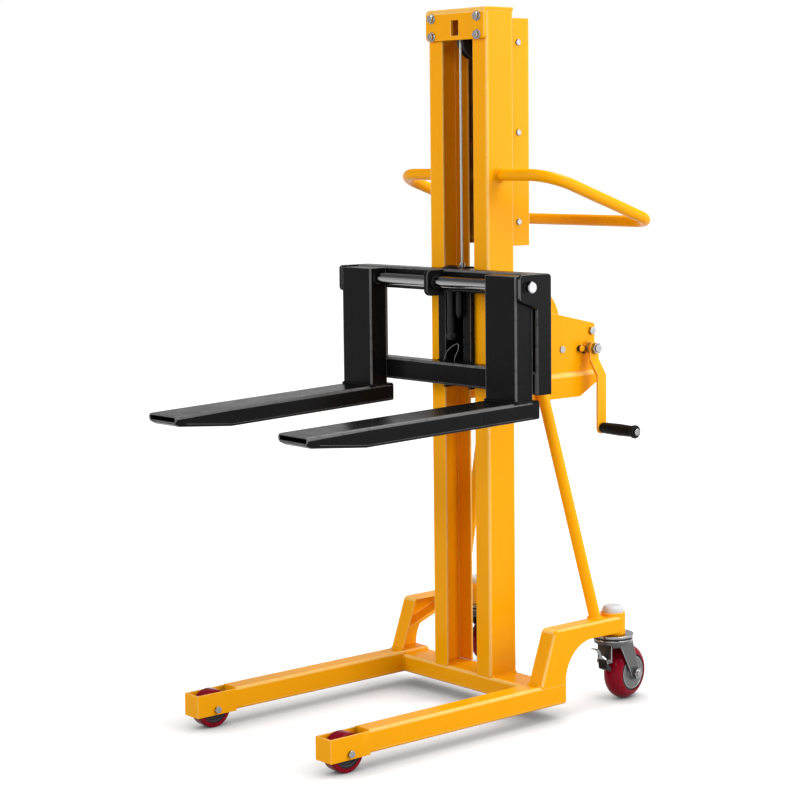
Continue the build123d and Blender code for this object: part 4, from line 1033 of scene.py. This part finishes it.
@dataclass
class BaseFrame(SubAssembly):
    """Legs, cross beam and goosenecks: one weldment."""

    edges: ClassVar[dict[str, float]] = {**both(leg=0.8, gooseneck=1.0), "cross_beam": 1.0, "boss_caps": 0.6}
    keep: ClassVar[dict[str, tuple[Box, ...]]] = {
        f"{name}_{side}": (side_box(sign, *FLUSH_SEAM), side_box(sign, *BOX_JOINT))
        for name in ("leg", "gooseneck") for side, sign in SIDES}
    lengths: ClassVar[dict[str, float]] = both(leg=0.04)
    leg_in: float = 208.0
    leg_mid: float = 233.0
    leg_half: float = 25.0
    leg_round: float = 6.0
    leg_top: float = 82.5
    free_edge: Pair = (-489.0, 2.0)
    beam_top: float = 76.0
    beam_face: Pair = (40.0, 71.0)
    beam_across: Pair = (4.0, 77.0)
    goose_front: float = 4.5
    goose_foot: Pair = (216.0, 252.0)
    bead_r: float = 0.0036

    def dress(self) -> list[Piece]:
        """Lays the beads where the beam meets the legs and the goosenecks stand on them.

        Returns:
            The beads.
        """
        runs = []
        beam, leg, goose = self.beam_top + BEAD_OFF, self.leg_top + BEAD_OFF, self.goose_front - BEAD_OFF
        for _, sign in SIDES:
            x = sign * (self.leg_in - BEAD_OFF)
            runs.append([spot(x, -BEAD_OFF, z) for z in self.beam_face])
            runs.append([spot(x, y, beam) for y in self.beam_across])
            runs.append([spot(sign * foot, goose, leg) for foot in self.goose_foot])
        return [self.shop.bead("base_weld_beads", runs, Body.CHASSIS.value, "yellow_paint", self.bead_r)]


def leg_edge(sign: int) -> TrueForm:
    """Makes the true form of the rounded upper edges of a leg.

    Args:
        sign: -1 on the left, 1 on the right.

    Returns:
        A rule that gives the normal at a point of the roundings, and none elsewhere.
    """
    middle = spot(sign * BaseFrame.leg_mid, 0, BaseFrame.leg_top)

    def form(point: Vector) -> Vector | None:
        """Gives the normal at a point of the roundings.

        Args:
            point: The point.

        Returns:
            The normal, or none elsewhere.
        """
        at = (point - middle) * MM
        if not BaseFrame.free_edge[0] < at.y < BaseFrame.free_edge[1]:
            return None
        return rounded(at.x, at.z, BaseFrame.leg_half, BaseFrame.leg_round)

    return form


BaseFrame.forms = {f"leg_{side}": leg_edge(sign) for side, sign in SIDES}


@dataclass
class FrontRollers(SubAssembly):
    """Red rollers in the ends of the legs."""

    edges: ClassVar[dict[str, float]] = {**both(roller_hub=0.8), "roller_axles": 0.8}
    axle_y: float = -540.5
    radius: float = 42.0
    core: float = 32.0
    half: float = 17.0
    edge: float = 3.5
    edge_steps: int = 6

    def dress(self) -> list[Piece]:
        """Turns the treads with round shoulders.

        Returns:
            The treads.
        """
        flank, crest = self.half - self.edge, self.radius - self.edge
        section = [(-self.half, self.core), (self.half, self.core)]
        section += arc((flank, crest), self.edge, 0, 90, self.edge_steps)
        section += arc((-flank, crest), self.edge, 90, 180, self.edge_steps)
        return [self.shop.ring(f"roller_tyre_{side}", section,
                               spot(sign * BaseFrame.leg_mid, self.axle_y, self.radius), Turn.ACROSS,
                               f"roller_{side}", "red_polyurethane", node=f"roller_tread_{side}")
                for side, sign in SIDES]


@dataclass
class Casters(SubAssembly):
    """Swivel casters with brakes under the goosenecks."""

    edges: ClassVar[dict[str, float]] = {**both(caster_fork=1.2, caster_hub=0.8, caster_axle=0.8),
                                         "caster_stems": 0.8}
    finishes: ClassVar[dict[str, str]] = {"caster_fork_left": "caster_zinc", "caster_fork_right": "caster_zinc",
                                          "caster_stems": "zinc"}
    boss_x: float = 229.2
    boss_y: float = 260.0
    trail: float = 45.0
    swung: float = 8.0
    wheel_r: float = 62.5
    core: float = 42.0
    half: float = 25.0
    crown: float = 18.0
    crown_steps: int = 32
    shoulder: float = 1.5
    shoulder_in: float = 0.45
    lip_r: float = 36.5
    lip_wire: float = 1.7
    lip_proud: float = 0.6
    groove: Pair = (38.1, 41.9)
    groove_sunk: float = 2.6
    seal: float = 1.0
    race_z: float = 148.1
    race_r: float = 43.5
    race_lip: float = 2.4
    grease: Pair = (43.4, 44.0)
    grease_band: Pair = (1.8, 4.4)
    bowl_top: float = 138.9
    bowl_low: float = 128.5
    bowl_r: float = 33.0
    bowl_floor: float = 27.0
    bowl_hole: float = 16.0
    bowl_heel: Pair = (3.0, 1.5)
    web_front: float = -28.5
    web_top: float = 138.8
    pivot_ahead: float = 37.5
    pivot_z: float = 100.0
    eye_r: float = 4.2
    eye_facets: int = 28
    pin_r: float = 2.7
    brake_half: float = 11.5
    lever_half: float = 4.2
    lever_sheet: float = 3.0
    lever_reach: float = 38.0
    lever_rise: float = 36.0
    lever_steps: int = 14
    lever_start: float = 0.1
    lever_bend: float = 1.9
    lever_neck: float = 0.12
    pad_start: float = 0.75
    pad_flare: float = 2.0
    shoe: tuple[Pair, ...] = ((0, -3.57), (-3.78, 0), (-2, -17.36), (14.1, -24.8), (14.1, -14.8))

    def lever_rings(self) -> list[list[Point]]:
        """Gives the rings of points along the bent brake lever.

        Returns:
            Rings of four points: across, ahead of the pivot and above it.
        """
        rings = []
        for step in range(self.lever_steps + 1):
            t = self.lever_start + (1 - self.lever_start) * step / self.lever_steps
            y, z = -self.lever_reach * t, self.lever_rise * (1 - (1 - t) ** self.lever_bend)
            steep = self.lever_rise * self.lever_bend * (1 - t) ** (self.lever_bend - 1)
            slope = math.atan2(steep, self.lever_reach)
            neck = min(1.0, max(0.0, (t - self.lever_start) / self.lever_neck))
            pad = max(0.0, (t - self.pad_start) / (1 - self.pad_start))
            half = self.brake_half + (self.lever_half - self.brake_half) * neck + self.pad_flare * pad
            dy, dz = math.sin(slope) * self.lever_sheet / 2, math.cos(slope) * self.lever_sheet / 2
            rings.append([(-half, y - dy, z - dz), (half, y - dy, z - dz),
                          (half, y + dy, z + dz), (-half, y + dy, z + dz)])
        return rings

    def brake(self, side: str, boss: Vector, way: Matrix) -> Piece:
        """Makes the brake: a bent lever, its eye and the shoe that meets the tread.

        Args:
            side: Side name.
            boss: Foot of the swivel's axis.
            way: Turn of the caster.

        Returns:
            The brake.
        """
        work = bmesh.new()
        pivot = boss + Vector((0, -self.pivot_ahead, self.pivot_z)) / MM

        def add(point: Point) -> bmesh.types.BMVert:
            """Adds a point given from the pivot."""
            return work.verts.new(way @ (pivot + Vector(point) / MM))

        def loft(rings: Sequence[Sequence[Point]], shut: bool) -> None:
            """Skins rings of points.

            Args:
                rings: The rings.
                shut: Whether the last ring joins the first; otherwise both ends get a face.
            """
            rows = [[add(point) for point in ring] for ring in rings]
            for row, after in zip(rows, rows[1:] + (rows[:1] if shut else [])):
                for i in range(len(row)):
                    work.faces.new((row[i - 1], row[i], after[i], after[i - 1]))
            if not shut:
                work.faces.new(rows[0])
                work.faces.new(rows[-1][::-1])

        width = (-self.brake_half, self.brake_half)
        loft(self.lever_rings(), False)
        lever = len(work.faces)
        loft([[(x, y, z) for y, z in self.shoe] for x in width], False)
        turns = [math.tau * i / self.eye_facets for i in range(self.eye_facets)]
        loft([[(x, r * math.cos(a), r * math.sin(a)) for x, r in oblong(width, (self.pin_r, self.eye_r))]
              for a in turns], True)
        bmesh.ops.recalc_face_normals(work, faces=work.faces)
        for index, face in enumerate(work.faces):
            face.material_index = 0 if index < lever else 1
        mesh = bpy.data.meshes.new(f"caster_pedal_{side}")
        work.to_mesh(mesh)
        work.free()
        for finish in ("zinc", "oiled_black"):
            mesh.materials.append(self.shop.palette[finish])
        pedal = add_object(f"caster_pedal_{side}", mesh)
        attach(pedal, f"caster_brake_{side}")
        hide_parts(f"caster_brake_{side}")
        return pedal

    def tyre_section(self) -> list[Pair]:
        """Gives the tread's section.

        Returns:
            Points along the axle and out from it.
        """
        bow = (self.half ** 2 + self.crown ** 2) / (2 * self.crown)
        reach = math.degrees(math.asin((self.half - self.shoulder_in) / bow))
        crest = arc((0, self.wheel_r - bow), bow, 90 - reach, 90 + reach, self.crown_steps)
        low = self.wheel_r - self.crown - self.shoulder
        return [(-self.half, self.core), (self.half, self.core), (self.half, low), *crest, (-self.half, low)]

    def wheel_rings(self, side: str, sign: int, boss: Vector, way: Matrix) -> list[Piece]:
        """Turns a wheel's tread, the bright lips of its hub and the dark seal rings in its grooves, which also
        paint the grooves' shade.

        Args:
            side: Side name.
            sign: -1 on the left, 1 on the right.
            boss: Foot of the swivel's axis.
            way: Turn of the caster.

        Returns:
            The rings.
        """
        ring, body = self.shop.ring, f"caster_wheel_{side}"
        wheel = boss + Vector((0, self.trail / MM, self.wheel_r / MM))
        made = [ring(f"caster_tyre_{side}", self.tyre_section(), wheel, Turn.ACROSS, body, "red_polyurethane",
                     swung=way, node=f"caster_tread_{side}")]
        for face, out in (("inner", -sign), ("outer", sign)):
            lip = out * (self.half + self.lip_proud - self.lip_wire)
            made.append(ring(f"hub_lip_{face}_{side}", round_rod((lip, self.lip_r), self.lip_wire), wheel,
                             Turn.ACROSS, body, "zinc", swung=way))
            # Dark ring in the groove: partly a seal, partly painted shade.
            sunk = out * (self.half - self.groove_sunk)
            seal = oblong((sunk, sunk + out * self.seal), self.groove)
            made.append(ring(f"hub_seal_{face}_{side}", seal, wheel, Turn.ACROSS, body, "black_plastic",
                             "oiled_black", way))
        return made

    def crown_rings(self, side: str, boss: Vector, way: Matrix) -> list[Piece]:
        """Turns the rolled lip, the dark band in the groove under it, partly grease and partly painted shade,
        and the bowl of a caster's crown.

        Args:
            side: Side name.
            boss: Foot of the swivel's axis.
            way: Turn of the caster.

        Returns:
            The rings.
        """
        ring, body = self.shop.ring, f"caster_{side}"
        race = boss + Vector((0, 0, self.race_z / MM))
        middle = (self.bowl_top + self.bowl_low) / 2
        up, down = self.bowl_top - middle, self.bowl_low - middle
        heel = (down + self.bowl_heel[0], self.bowl_r - self.bowl_heel[1])
        bowl = [(up, self.bowl_hole), (up, self.bowl_r), heel, (down, self.bowl_floor), (down, self.bowl_hole)]
        return [ring(f"crown_lip_{side}", round_rod((0, self.race_r), self.race_lip), race, Turn.UPRIGHT, body,
                     "zinc", swung=way),
                # Dark band under the lip: partly grease, partly painted shade in the groove.
                ring(f"race_grease_{side}", oblong(self.grease_band, self.grease), race, Turn.UPRIGHT, body,
                     "black_plastic", "oiled_black", way),
                ring(f"crown_bowl_{side}", bowl, boss + Vector((0, 0, middle / MM)), Turn.UPRIGHT, body, "zinc",
                     "caster_zinc", way)]

    def dress(self) -> list[Piece]:
        """Adds the rings of the wheels and crowns and the brakes.

        Returns:
            The added pieces.
        """
        made = []
        for side, sign in SIDES:
            boss = spot(sign * self.boss_x, self.boss_y, 0)
            way = swing(boss, sign * self.swung)
            made += self.wheel_rings(side, sign, boss, way) + self.crown_rings(side, boss, way)
            made.append(self.brake(side, boss, way))
        return made


def on_web(sign: int) -> FaceTest:
    """Makes the test for the web of a caster's fork, which gets painted shade.

    Args:
        sign: -1 on the left, 1 on the right.

    Returns:
        A test of a face's centre and normal.
    """
    boss = spot(sign * Casters.boss_x, Casters.boss_y, 0)
    back = swing(boss, -sign * Casters.swung)

    def test(centre: Vector, normal: Vector) -> bool:
        """Tells whether a face is on the web, given its centre and normal."""
        at = back @ centre - boss
        return at.y < Casters.web_front / MM and at.z < Casters.web_top / MM

    return test


# The forks' webs get painted shade, as dark as the shade under the gooseneck.
Casters.thin = {f"caster_fork_{side}": on_web(sign) for side, sign in SIDES}


def inside_cover(centre: Vector, normal: Vector) -> bool:
    """Tells whether a face of the rear cover looks into the mast, given its centre and normal; such faces get
    painted shade.
    """
    inward = spot(0, Mast.cover_mid, 0) - centre
    return normal.x * inward.x + normal.y * inward.y > Mast.cover_inward


@dataclass
class Mast(SubAssembly):
    """Uprights, cap, rear cover and top pulley."""

    edges: ClassVar[dict[str, float]] = {**both(mast_upright=1.0), "mast_cap": 1.2, "mast_fasteners": 0.7,
                                         "rear_cover": 0.5, "top_pulley": 0.8, "top_pulley_axle": 0.8}
    finishes: ClassVar[dict[str, str]] = {"top_pulley": "roller_core", "top_pulley_axle": "oiled_black"}
    # The rear cover's inner faces get painted shade.
    thin: ClassVar[dict[str, FaceTest]] = {"rear_cover": inside_cover}
    half: float = 96.5
    depth: float = 81.0
    foot_z: float = 76.0
    side_run: Pair = (3.0, 78.0)
    flange_run: Pair = (50.3, 93.5)
    flange_y: float = 2.5
    flange_off: float = 0.3
    cover_z: Pair = (1050.5, 1553.5)
    cover_mid: float = 100.0
    cover_inward: float = 0.002
    fill_r: float = 1.7
    fill_sunk: float = 0.4
    fill_step: float = 0.05
    bead_r: float = 0.0028

    def dress(self) -> list[Piece]:
        """Lays the beads at the feet of the uprights and the paint in the cover's seams.

        Returns:
            The beads and the filled seams.
        """
        runs, seams = [], []
        for _, sign in SIDES:
            side, fill = sign * (self.half + BEAD_OFF), sign * (self.half - self.fill_r)
            runs.append([spot(side, y, self.foot_z + BEAD_OFF) for y in self.side_run])
            runs.append([spot(sign * x, self.flange_y, self.foot_z + self.flange_off) for x in self.flange_run])
            seams.append([spot(fill, self.depth - self.fill_sunk, z) for z in self.cover_z])
        return [self.shop.bead("mast_weld_beads", runs, Body.CHASSIS.value, "yellow_paint", self.bead_r),
                self.shop.grow("cover_seam_paint", seams, self.shop.wire, Body.CHASSIS.value, "yellow_paint",
                               Radius=self.fill_r / MM, Step=self.fill_step)]


@dataclass
class HandleAndBraces(SubAssembly):
    """Push handle and the two braces."""

    edges: ClassVar[dict[str, float]] = {"push_handle": 0.5, **both(brace=0.8)}
    handle_y: float = 38.0
    handle_z: float = 1209.0
    handle_seam: float = 14.85
    brace_seam: float = 14.9
    foot: Point = (225.0, 206.0, 202.5)
    head: Point = (88.0, 172.0, 720.0)
    seam_steps: int = 48
    bead_r: float = 0.0036

    def ring(self, centre: Vector, radius: float, normal: Vector, along: Vector) -> list[Vector]:
        """Gives the seam of a round tube on a flat face.

        Args:
            centre: Where the tube's axis meets the face.
            radius: Radius of the seam about that axis, in millimetres.
            normal: The face's normal.
            along: The tube's axis.

        Returns:
            Points of the seam.
        """
        u = along.orthogonal().normalized()
        v = along.normalized().cross(u)
        points = []
        for step in range(self.seam_steps):
            angle = 2 * math.pi * step / self.seam_steps
            out = (u * math.cos(angle) + v * math.sin(angle)) * radius / MM
            points.append(centre + out - along * (out.dot(normal) / along.dot(normal)))
        return points

    def dress(self) -> list[Piece]:
        """Lays the rings of weld round the handle's ends and the braces' feet.

        Returns:
            The beads.
        """
        rings = []
        for _, sign in SIDES:
            out = Vector((sign, 0, 0))
            end = spot(sign * Mast.half, self.handle_y, self.handle_z)
            rings.append(self.ring(end, self.handle_seam, out, out))
            foot = spot(sign * self.foot[0], *self.foot[1:])
            axis = spot(sign * self.head[0], *self.head[1:]) - foot
            rings.append(self.ring(foot, self.brace_seam, Vector((0, 0, 1)), axis))
        return [self.shop.bead("tube_weld_rings", rings, Body.CHASSIS.value, "yellow_paint", self.bead_r, True)]


@dataclass
class Winch(SubAssembly):
    """Hand winch: shelf, frame, guard, gears, drum, ratchet and crank."""

    edges: ClassVar[dict[str, float]] = {"winch_shelf": 1.4, "winch_frame": 0.9, "winch_tie_bolts": 0.7,
                                         "gear_guard": 0.5, "winch_drum": 0.6, "pinion_shaft": 0.5,
                                         "crank_shaft": 0.5, "ratchet_wheel": 0.4, "ratchet_pawl": 0.6,
                                         "crank_arm": 1.2, "crank_fasteners": 0.8, "crank_grip": 0.9}
    finishes: ClassVar[dict[str, str]] = {"ratchet_wheel": "yellow_paint", "ratchet_pawl": "oiled_black"}
    shelf_top: float = 747.5
    shelf_run: Pair = (52.0, 74.0)
    bead_r: float = 0.0028

    def dress(self) -> list[Piece]:
        """Lays the bead between the shelf and the mast.

        Returns:
            The bead.
        """
        y, z = Mast.depth + BEAD_OFF, self.shelf_top + BEAD_OFF
        runs = [[spot(sign * x, y, z) for x in self.shelf_run] for _, sign in SIDES]
        return [self.shop.bead("shelf_weld_bead", runs, Body.CHASSIS.value, "yellow_paint", self.bead_r)]


@dataclass
class LiftRope(SubAssembly):
    """The wire rope from the carriage over the top pulley to the drum."""

    radius: float = 0.003
    strands: float = 6.0
    lay: float = 0.026
    step: float = 0.0016
    rope_y: float = 10.0
    neck_z: float = 1012.0
    pulley_y: float = 53.35
    pulley_z: float = 1512.0
    pulley_r: float = 43.35
    pulley_steps: int = 60
    drum_y: float = 160.0
    drum_z: float = 861.055
    drum_r: float = 63.3
    drum_steps: int = 72
    pitch: float = 6.7
    turns: int = 4
    clear: float = 30.0

    def lay_rope(self, node: str, points: Sequence[Vector], body: str | None) -> Piece:
        """Lays rope along points in place of a CAD node.

        Args:
            node: CAD node that it stands for.
            points: The rope's centre line.
            body: Body that it rides on, or none where it spans two.

        Returns:
            The rope piece.
        """
        piece = self.shop.grow(node + "_wire", [points], self.shop.rope, body, "rope_wire", Radius=self.radius,
                               Strands=self.strands, Lay_Length=self.lay, Step=self.step)
        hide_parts(node)
        return piece

    def dress(self) -> list[Piece]:
        """Makes the front fall, the rear fall and the turns on the drum.

        Returns:
            The three pieces.
        """
        top = spot(0, self.rope_y, self.pulley_z)
        low = spot(0, self.rope_y, self.neck_z)
        front = self.lay_rope("lift_rope_front", [top, low], None)
        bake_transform(front)
        crest = arc((self.pulley_y, self.pulley_z), self.pulley_r, 180, 0, self.pulley_steps)
        fall = (self.drum_y - self.drum_r, self.drum_z + self.clear)
        rear = self.lay_rope("lift_rope_rear", [spot(0, y, z) for y, z in [*crest, fall]], Body.CHASSIS.value)
        coil = arc((self.drum_y, self.drum_z), self.drum_r, 180, 180 + 360 * self.turns,
                   self.turns * self.drum_steps)
        wound = self.lay_rope("rope_winding", [spot(-self.pitch * step / self.drum_steps, y, z)
                                               for step, (y, z) in enumerate(coil)], Body.DRUM.value)
        return [front, rear, wound]


@dataclass
class Carriage(SubAssembly):
    """Lifting carriage with its bars, end plates, shaft, guides and rope anchor."""

    edges: ClassVar[dict[str, float]] = {
        "carriage_upper_bar": 1.2, "carriage_lower_bar": 1.2, **both(carriage_end_plate=1.2), "fork_shaft": 0.6,
        "carriage_core": 0.9, "guide_axles": 0.6, "guide_rollers_upper": 0.8, "guide_rollers_lower": 0.8,
        "rope_anchor": 0.8, "anchor_rods": 0.8}
    finishes: ClassVar[dict[str, str]] = {"anchor_rods": "oiled_black", "guide_axles": "oiled_black",
                                          "rope_anchor": "zinc"}
    stile_run: Pair = (30.0, 54.0)
    stile_front: float = -15.0
    stile_ends: Pair = (790.5, 950.0)
    bar_front: float = -50.0
    lug_half: float = 5.5
    lug_run: Pair = (951.0, 994.5)
    shaft_y: float = -75.0
    shaft_z: float = 973.5
    collar_x: float = 8.5
    collar_half: float = 2.5
    collar_bore: float = 12.6
    collar_r: float = 16.5
    collar_bevel: float = 1.0
    loop: tuple[Pair, ...] = ((-20, 790), (-17, 801), (-9, 813), (5, 824), (18, 830.5), (27, 833), (30.5, 829),
                              (29, 819), (22, 809), (17, 799), (16, 790))
    loop_y: float = -30.0
    loop_r: float = 0.0007
    loop_step: float = 0.0025
    bead_r: float = 0.0026

    def dress(self) -> list[Piece]:
        """Lays the beads, the dark collar beside the lug and the loose wire loop.

        Returns:
            The added pieces.
        """
        runs = []
        for _, sign in SIDES:
            for z in self.stile_ends:
                runs.append([spot(sign * x, self.stile_front - BEAD_OFF, z) for x in self.stile_run])
            lug = sign * (self.lug_half + BEAD_OFF)
            runs.append([spot(lug, self.bar_front - BEAD_OFF, z) for z in self.lug_run])
        end, face = self.collar_half, self.collar_half - self.collar_bevel
        rise = self.collar_r - self.collar_bevel
        section = [(-end, self.collar_bore), (end, self.collar_bore), (end, rise), (face, self.collar_r),
                   (-face, self.collar_r), (-end, rise)]
        loop = [spot(x, self.loop_y, z) for x, z in self.loop]
        body = Body.CARRIAGE.value
        return [self.shop.bead("carriage_weld_beads", runs, body, "black_paint", self.bead_r),
                self.shop.ring("shaft_collar", section, spot(self.collar_x, self.shaft_y, self.shaft_z),
                               Turn.ACROSS, body, "black_plastic", "oiled_black"),
                self.shop.grow("loose_wire_loop", [loop], self.shop.wire, body, "zinc", Radius=self.loop_r,
                               Step=self.loop_step)]


@dataclass
class Forks(SubAssembly):
    """The two fabricated forks."""

    edges: ClassVar[dict[str, float]] = both(fork=1.2)
    lengths: ClassVar[dict[str, float]] = both(fork=0.03)
    rounding: ClassVar[tuple[Pair, ...]] = ((-653.95, 8.46), (-641.95, 7.5), (-503.95, 6.0), (-33.0, 6.0))
    middle: float = 243.0
    half: float = 50.0
    post_y: float = -76.52
    post_front: float = -103.0
    post_run: Pair = (-102.02, -54.52)
    top: float = 725.5
    top_y: float = -100.0
    droop: float = 1.9
    toe: float = 1.4
    bead_in: float = 1.0
    bead_up: float = 1.0
    bead_r: float = 0.0034

    @classmethod
    def rise(cls, y: float) -> float:
        """Gives how far the fork's top stands above its height at top_y, in millimetres."""
        return math.tan(math.radians(cls.droop)) * (y - cls.top_y)

    @classmethod
    def toed(cls, sign: int) -> Matrix:
        """Gives the turn of the left fork, -1, or the right one, 1, about its post."""
        return swing(spot(sign * cls.middle, cls.post_y, 0), -sign * cls.toe)

    def dress(self) -> list[Piece]:
        """Lays the beads where the posts stand on the forks.

        Returns:
            The beads.
        """
        made = []
        front, back = self.post_run
        for side, sign in SIDES:
            inner, outer = (sign * (self.middle + way * (self.half - self.bead_in)) for way in (-1, 1))
            corners = ((inner, back), (inner, front), (outer, front), (outer, back))
            path = [self.toed(sign) @ spot(x, y, self.top + self.rise(y) + self.bead_up) for x, y in corners]
            made.append(self.shop.bead(f"fork_weld_bead_{side}", [path], f"fork_{side}", "black_paint",
                                       self.bead_r))
        return made


def fork_edge(sign: int) -> TrueForm:
    """Makes the true form of the rounded upper edges of a fork.

    Args:
        sign: -1 on the left, 1 on the right.

    Returns:
        A rule that gives the normal at a point of the roundings, and none elsewhere.
    """
    back = Forks.toed(sign).inverted()
    middle = spot(sign * Forks.middle, 0, Forks.top)

    def form(point: Vector) -> Vector | None:
        """Gives the normal at a point of the roundings.

        Args:
            point: The point.

        Returns:
            The normal, or none elsewhere.
        """
        at = (back @ point - middle) * MM
        if at.y > Forks.post_front:
            return None
        radius = next((r0 + (r1 - r0) * (at.y - y0) / (y1 - y0)
                       for (y0, r0), (y1, r1) in zip(Forks.rounding, Forks.rounding[1:]) if at.y <= y1), 0.0)
        return rounded(at.x, at.z - Forks.rise(at.y), Forks.half, radius)

    return form


Forks.forms = {f"fork_{side}": fork_edge(sign) for side, sign in SIDES}


# Studio


@dataclass(frozen=True)
class SoftBox:
    """A square soft box, in metres and watts."""

    name: str
    place: Point
    target: Point
    size: float
    power: float

    def hang(self) -> None:
        """Hangs the lamp so that it faces its target."""
        lamp = bpy.data.lights.new(self.name, "AREA")
        lamp.size = self.size
        lamp.energy = self.power
        made = add_object(self.name, lamp)
        made.location = self.place
        way = Vector(self.target) - Vector(self.place)
        made.rotation_euler = way.to_track_quat("-Z", "Y").to_euler()
        made.visible_camera = False


SOFT_BOXES: tuple[SoftBox, ...] = (
    SoftBox("key_box", (3.6, 1.2, 2.8), (0, 0, 0.8), size=2.0, power=92.0),
    SoftBox("gloss_box", (3.1, 2.7, 1.5), (0, 0, 1.2), size=2.1, power=34.0),
    SoftBox("front_box", (-1.2, -4.2, 2.8), (0, 0, 0.8), size=2.6, power=102.0),
    SoftBox("edge_box", (3.0, -2.7, 2.8), (0, 0, 0.8), size=0.9, power=22.0),
    SoftBox("back_box", (0.4, 2.2, 4.0), (0, 0, 0.6), size=1.6, power=110.0),
)


@dataclass
class Studio:
    """The floor, the light and the camera of the photograph."""

    eye: Point = (3.4948, -3.0117, 1.2700)
    azimuth: float = 48.97
    elevation: float = 6.18
    roll: float = -0.57
    focal_pixels: float = 2090.49
    centre: Pair = (422.51, 374.24)
    image: int = 800
    sensor: float = 36.0
    furthest: float = 200.0
    floor_size: float = 60.0
    paper: float = 0.5
    near_glow: float = 0.74
    far_glow: float = 1.0
    glow_reach: Pair = (0.7, 2.2)
    contact: float = 0.16
    contact_samples: int = 8
    horizon: float = 1.0
    zenith: float = 0.2
    sky_rise: Pair = (0.085, 0.5)

    def build(self) -> None:
        """Makes the whole studio."""
        self.lay_floor()
        self.set_world()
        for lamp in SOFT_BOXES:
            lamp.hang()
        self.aim_camera()
        bpy.context.scene.view_settings.view_transform = "Standard"

    def seen(self, wires: Wiring) -> Socket:
        """Adds the test for rays that show the background.

        Args:
            wires: Node tree of a material.

        Returns:
            1 for camera, glossy and transmission rays.
        """
        rays = wires.node("ShaderNodeLightPath").outputs
        bright = wires.math("MAXIMUM", rays["Is Camera Ray"], rays["Is Glossy Ray"])
        return wires.math("MAXIMUM", bright, rays["Is Transmission Ray"])

    def lay_floor(self) -> None:
        """Lays a pale floor that keeps the shadow, with a painted contact shadow from ambient occlusion near
        the object, and runs out into white.
        """
        half = self.floor_size / 2
        corners = [(-half, -half, 0), (half, -half, 0), (half, half, 0), (-half, half, 0)]
        mesh = bpy.data.meshes.new("studio_floor")
        mesh.from_pydata(corners, [], [(0, 1, 2, 3)])
        floor = add_object("studio_floor", mesh)
        paper = bpy.data.materials.new("studio_paper")
        paper.use_nodes = True
        paper.node_tree.nodes.clear()
        wires = Wiring(paper.node_tree)
        # Ambient occlusion darkens the floor's colour and its glow near the object: a painted contact shadow.
        shade = {"Distance": self.contact, "Color": (self.paper, self.paper, self.paper, 1.0)}
        painted_contact_shade = wires.node("ShaderNodeAmbientOcclusion", shade, samples=self.contact_samples)
        matt = wires.node("ShaderNodeBsdfDiffuse", {"Color": painted_contact_shade.outputs["Color"]})
        place = wires.node("ShaderNodeTexCoord").outputs["Object"]
        reach = wires.node("ShaderNodeVectorMath", {"Vector": place}, operation="LENGTH").outputs["Value"]
        fade = wires.spread(reach, *self.glow_reach, self.near_glow, self.far_glow)
        glow = wires.times(self.seen(wires), fade, painted_contact_shade.outputs["AO"])
        shine = wires.node("ShaderNodeEmission", {"Strength": glow})
        mix = wires.node("ShaderNodeAddShader")
        for light, socket in zip((matt, shine), mix.inputs):
            wires.feed(light.outputs[0], socket)
        wires.node("ShaderNodeOutputMaterial", {"Surface": mix.outputs[0]})
        mesh.materials.append(paper)

    def set_world(self) -> None:
        """Makes the air white at the horizon and dimmer overhead."""
        world = bpy.data.worlds.new("studio_air")
        bpy.context.scene.world = world
        world.use_nodes = True
        wires = Wiring(world.node_tree)
        back = world.node_tree.nodes["Background"]
        way = wires.node("ShaderNodeTexCoord").outputs["Generated"]
        height = wires.node("ShaderNodeSeparateXYZ", {"Vector": way}).outputs["Z"]
        wires.feed((1.0, 1.0, 1.0, 1.0), back.inputs["Color"])
        wires.feed(wires.spread(height, *self.sky_rise, self.horizon, self.zenith), back.inputs["Strength"])

    def aim_camera(self) -> None:
        """Sets the camera where the photograph was taken from."""
        a, e, r = (math.radians(v) for v in (self.azimuth, self.elevation, self.roll))
        back = Vector((math.sin(a) * math.cos(e), -math.cos(a) * math.cos(e), math.sin(e)))
        right = Vector((math.cos(a), math.sin(a), 0.0))
        up = back.cross(right)
        across = math.cos(r) * right + math.sin(r) * up
        upward = math.cos(r) * up - math.sin(r) * right
        data = bpy.data.cameras.new("photo_camera")
        data.sensor_width = self.sensor
        data.lens = self.focal_pixels * self.sensor / self.image
        data.shift_x = (self.image / 2 - self.centre[0]) / self.image
        data.shift_y = (self.centre[1] - self.image / 2) / self.image
        data.clip_end = self.furthest
        made = add_object("photo_camera", data)
        turn = Matrix((across, upward, back)).transposed().to_4x4()
        made.matrix_world = Matrix.Translation(Vector(self.eye)) @ turn
        bpy.context.scene.camera = made


GROUPS: tuple[Callable[[Workshop], SubAssembly], ...] = (
    BaseFrame, FrontRollers, Casters, Mast, HandleAndBraces, Winch, LiftRope, Carriage, Forks)


def report(pieces: Iterable[Piece]) -> None:
    """Logs each piece with its face count."""
    for piece in pieces:
        log.info("%s: %d faces", piece.name, len(piece.data.polygons))


def main() -> None:
    """Builds the sub-assemblies and the studio."""
    logging.basicConfig(level=logging.INFO, format="%(name)s %(message)s")
    shop = Workshop()
    for group in GROUPS:
        assembly = group(shop)
        report(assembly.build() + assembly.dress())
    Studio().build()


if __name__ == "__main__":
    main()
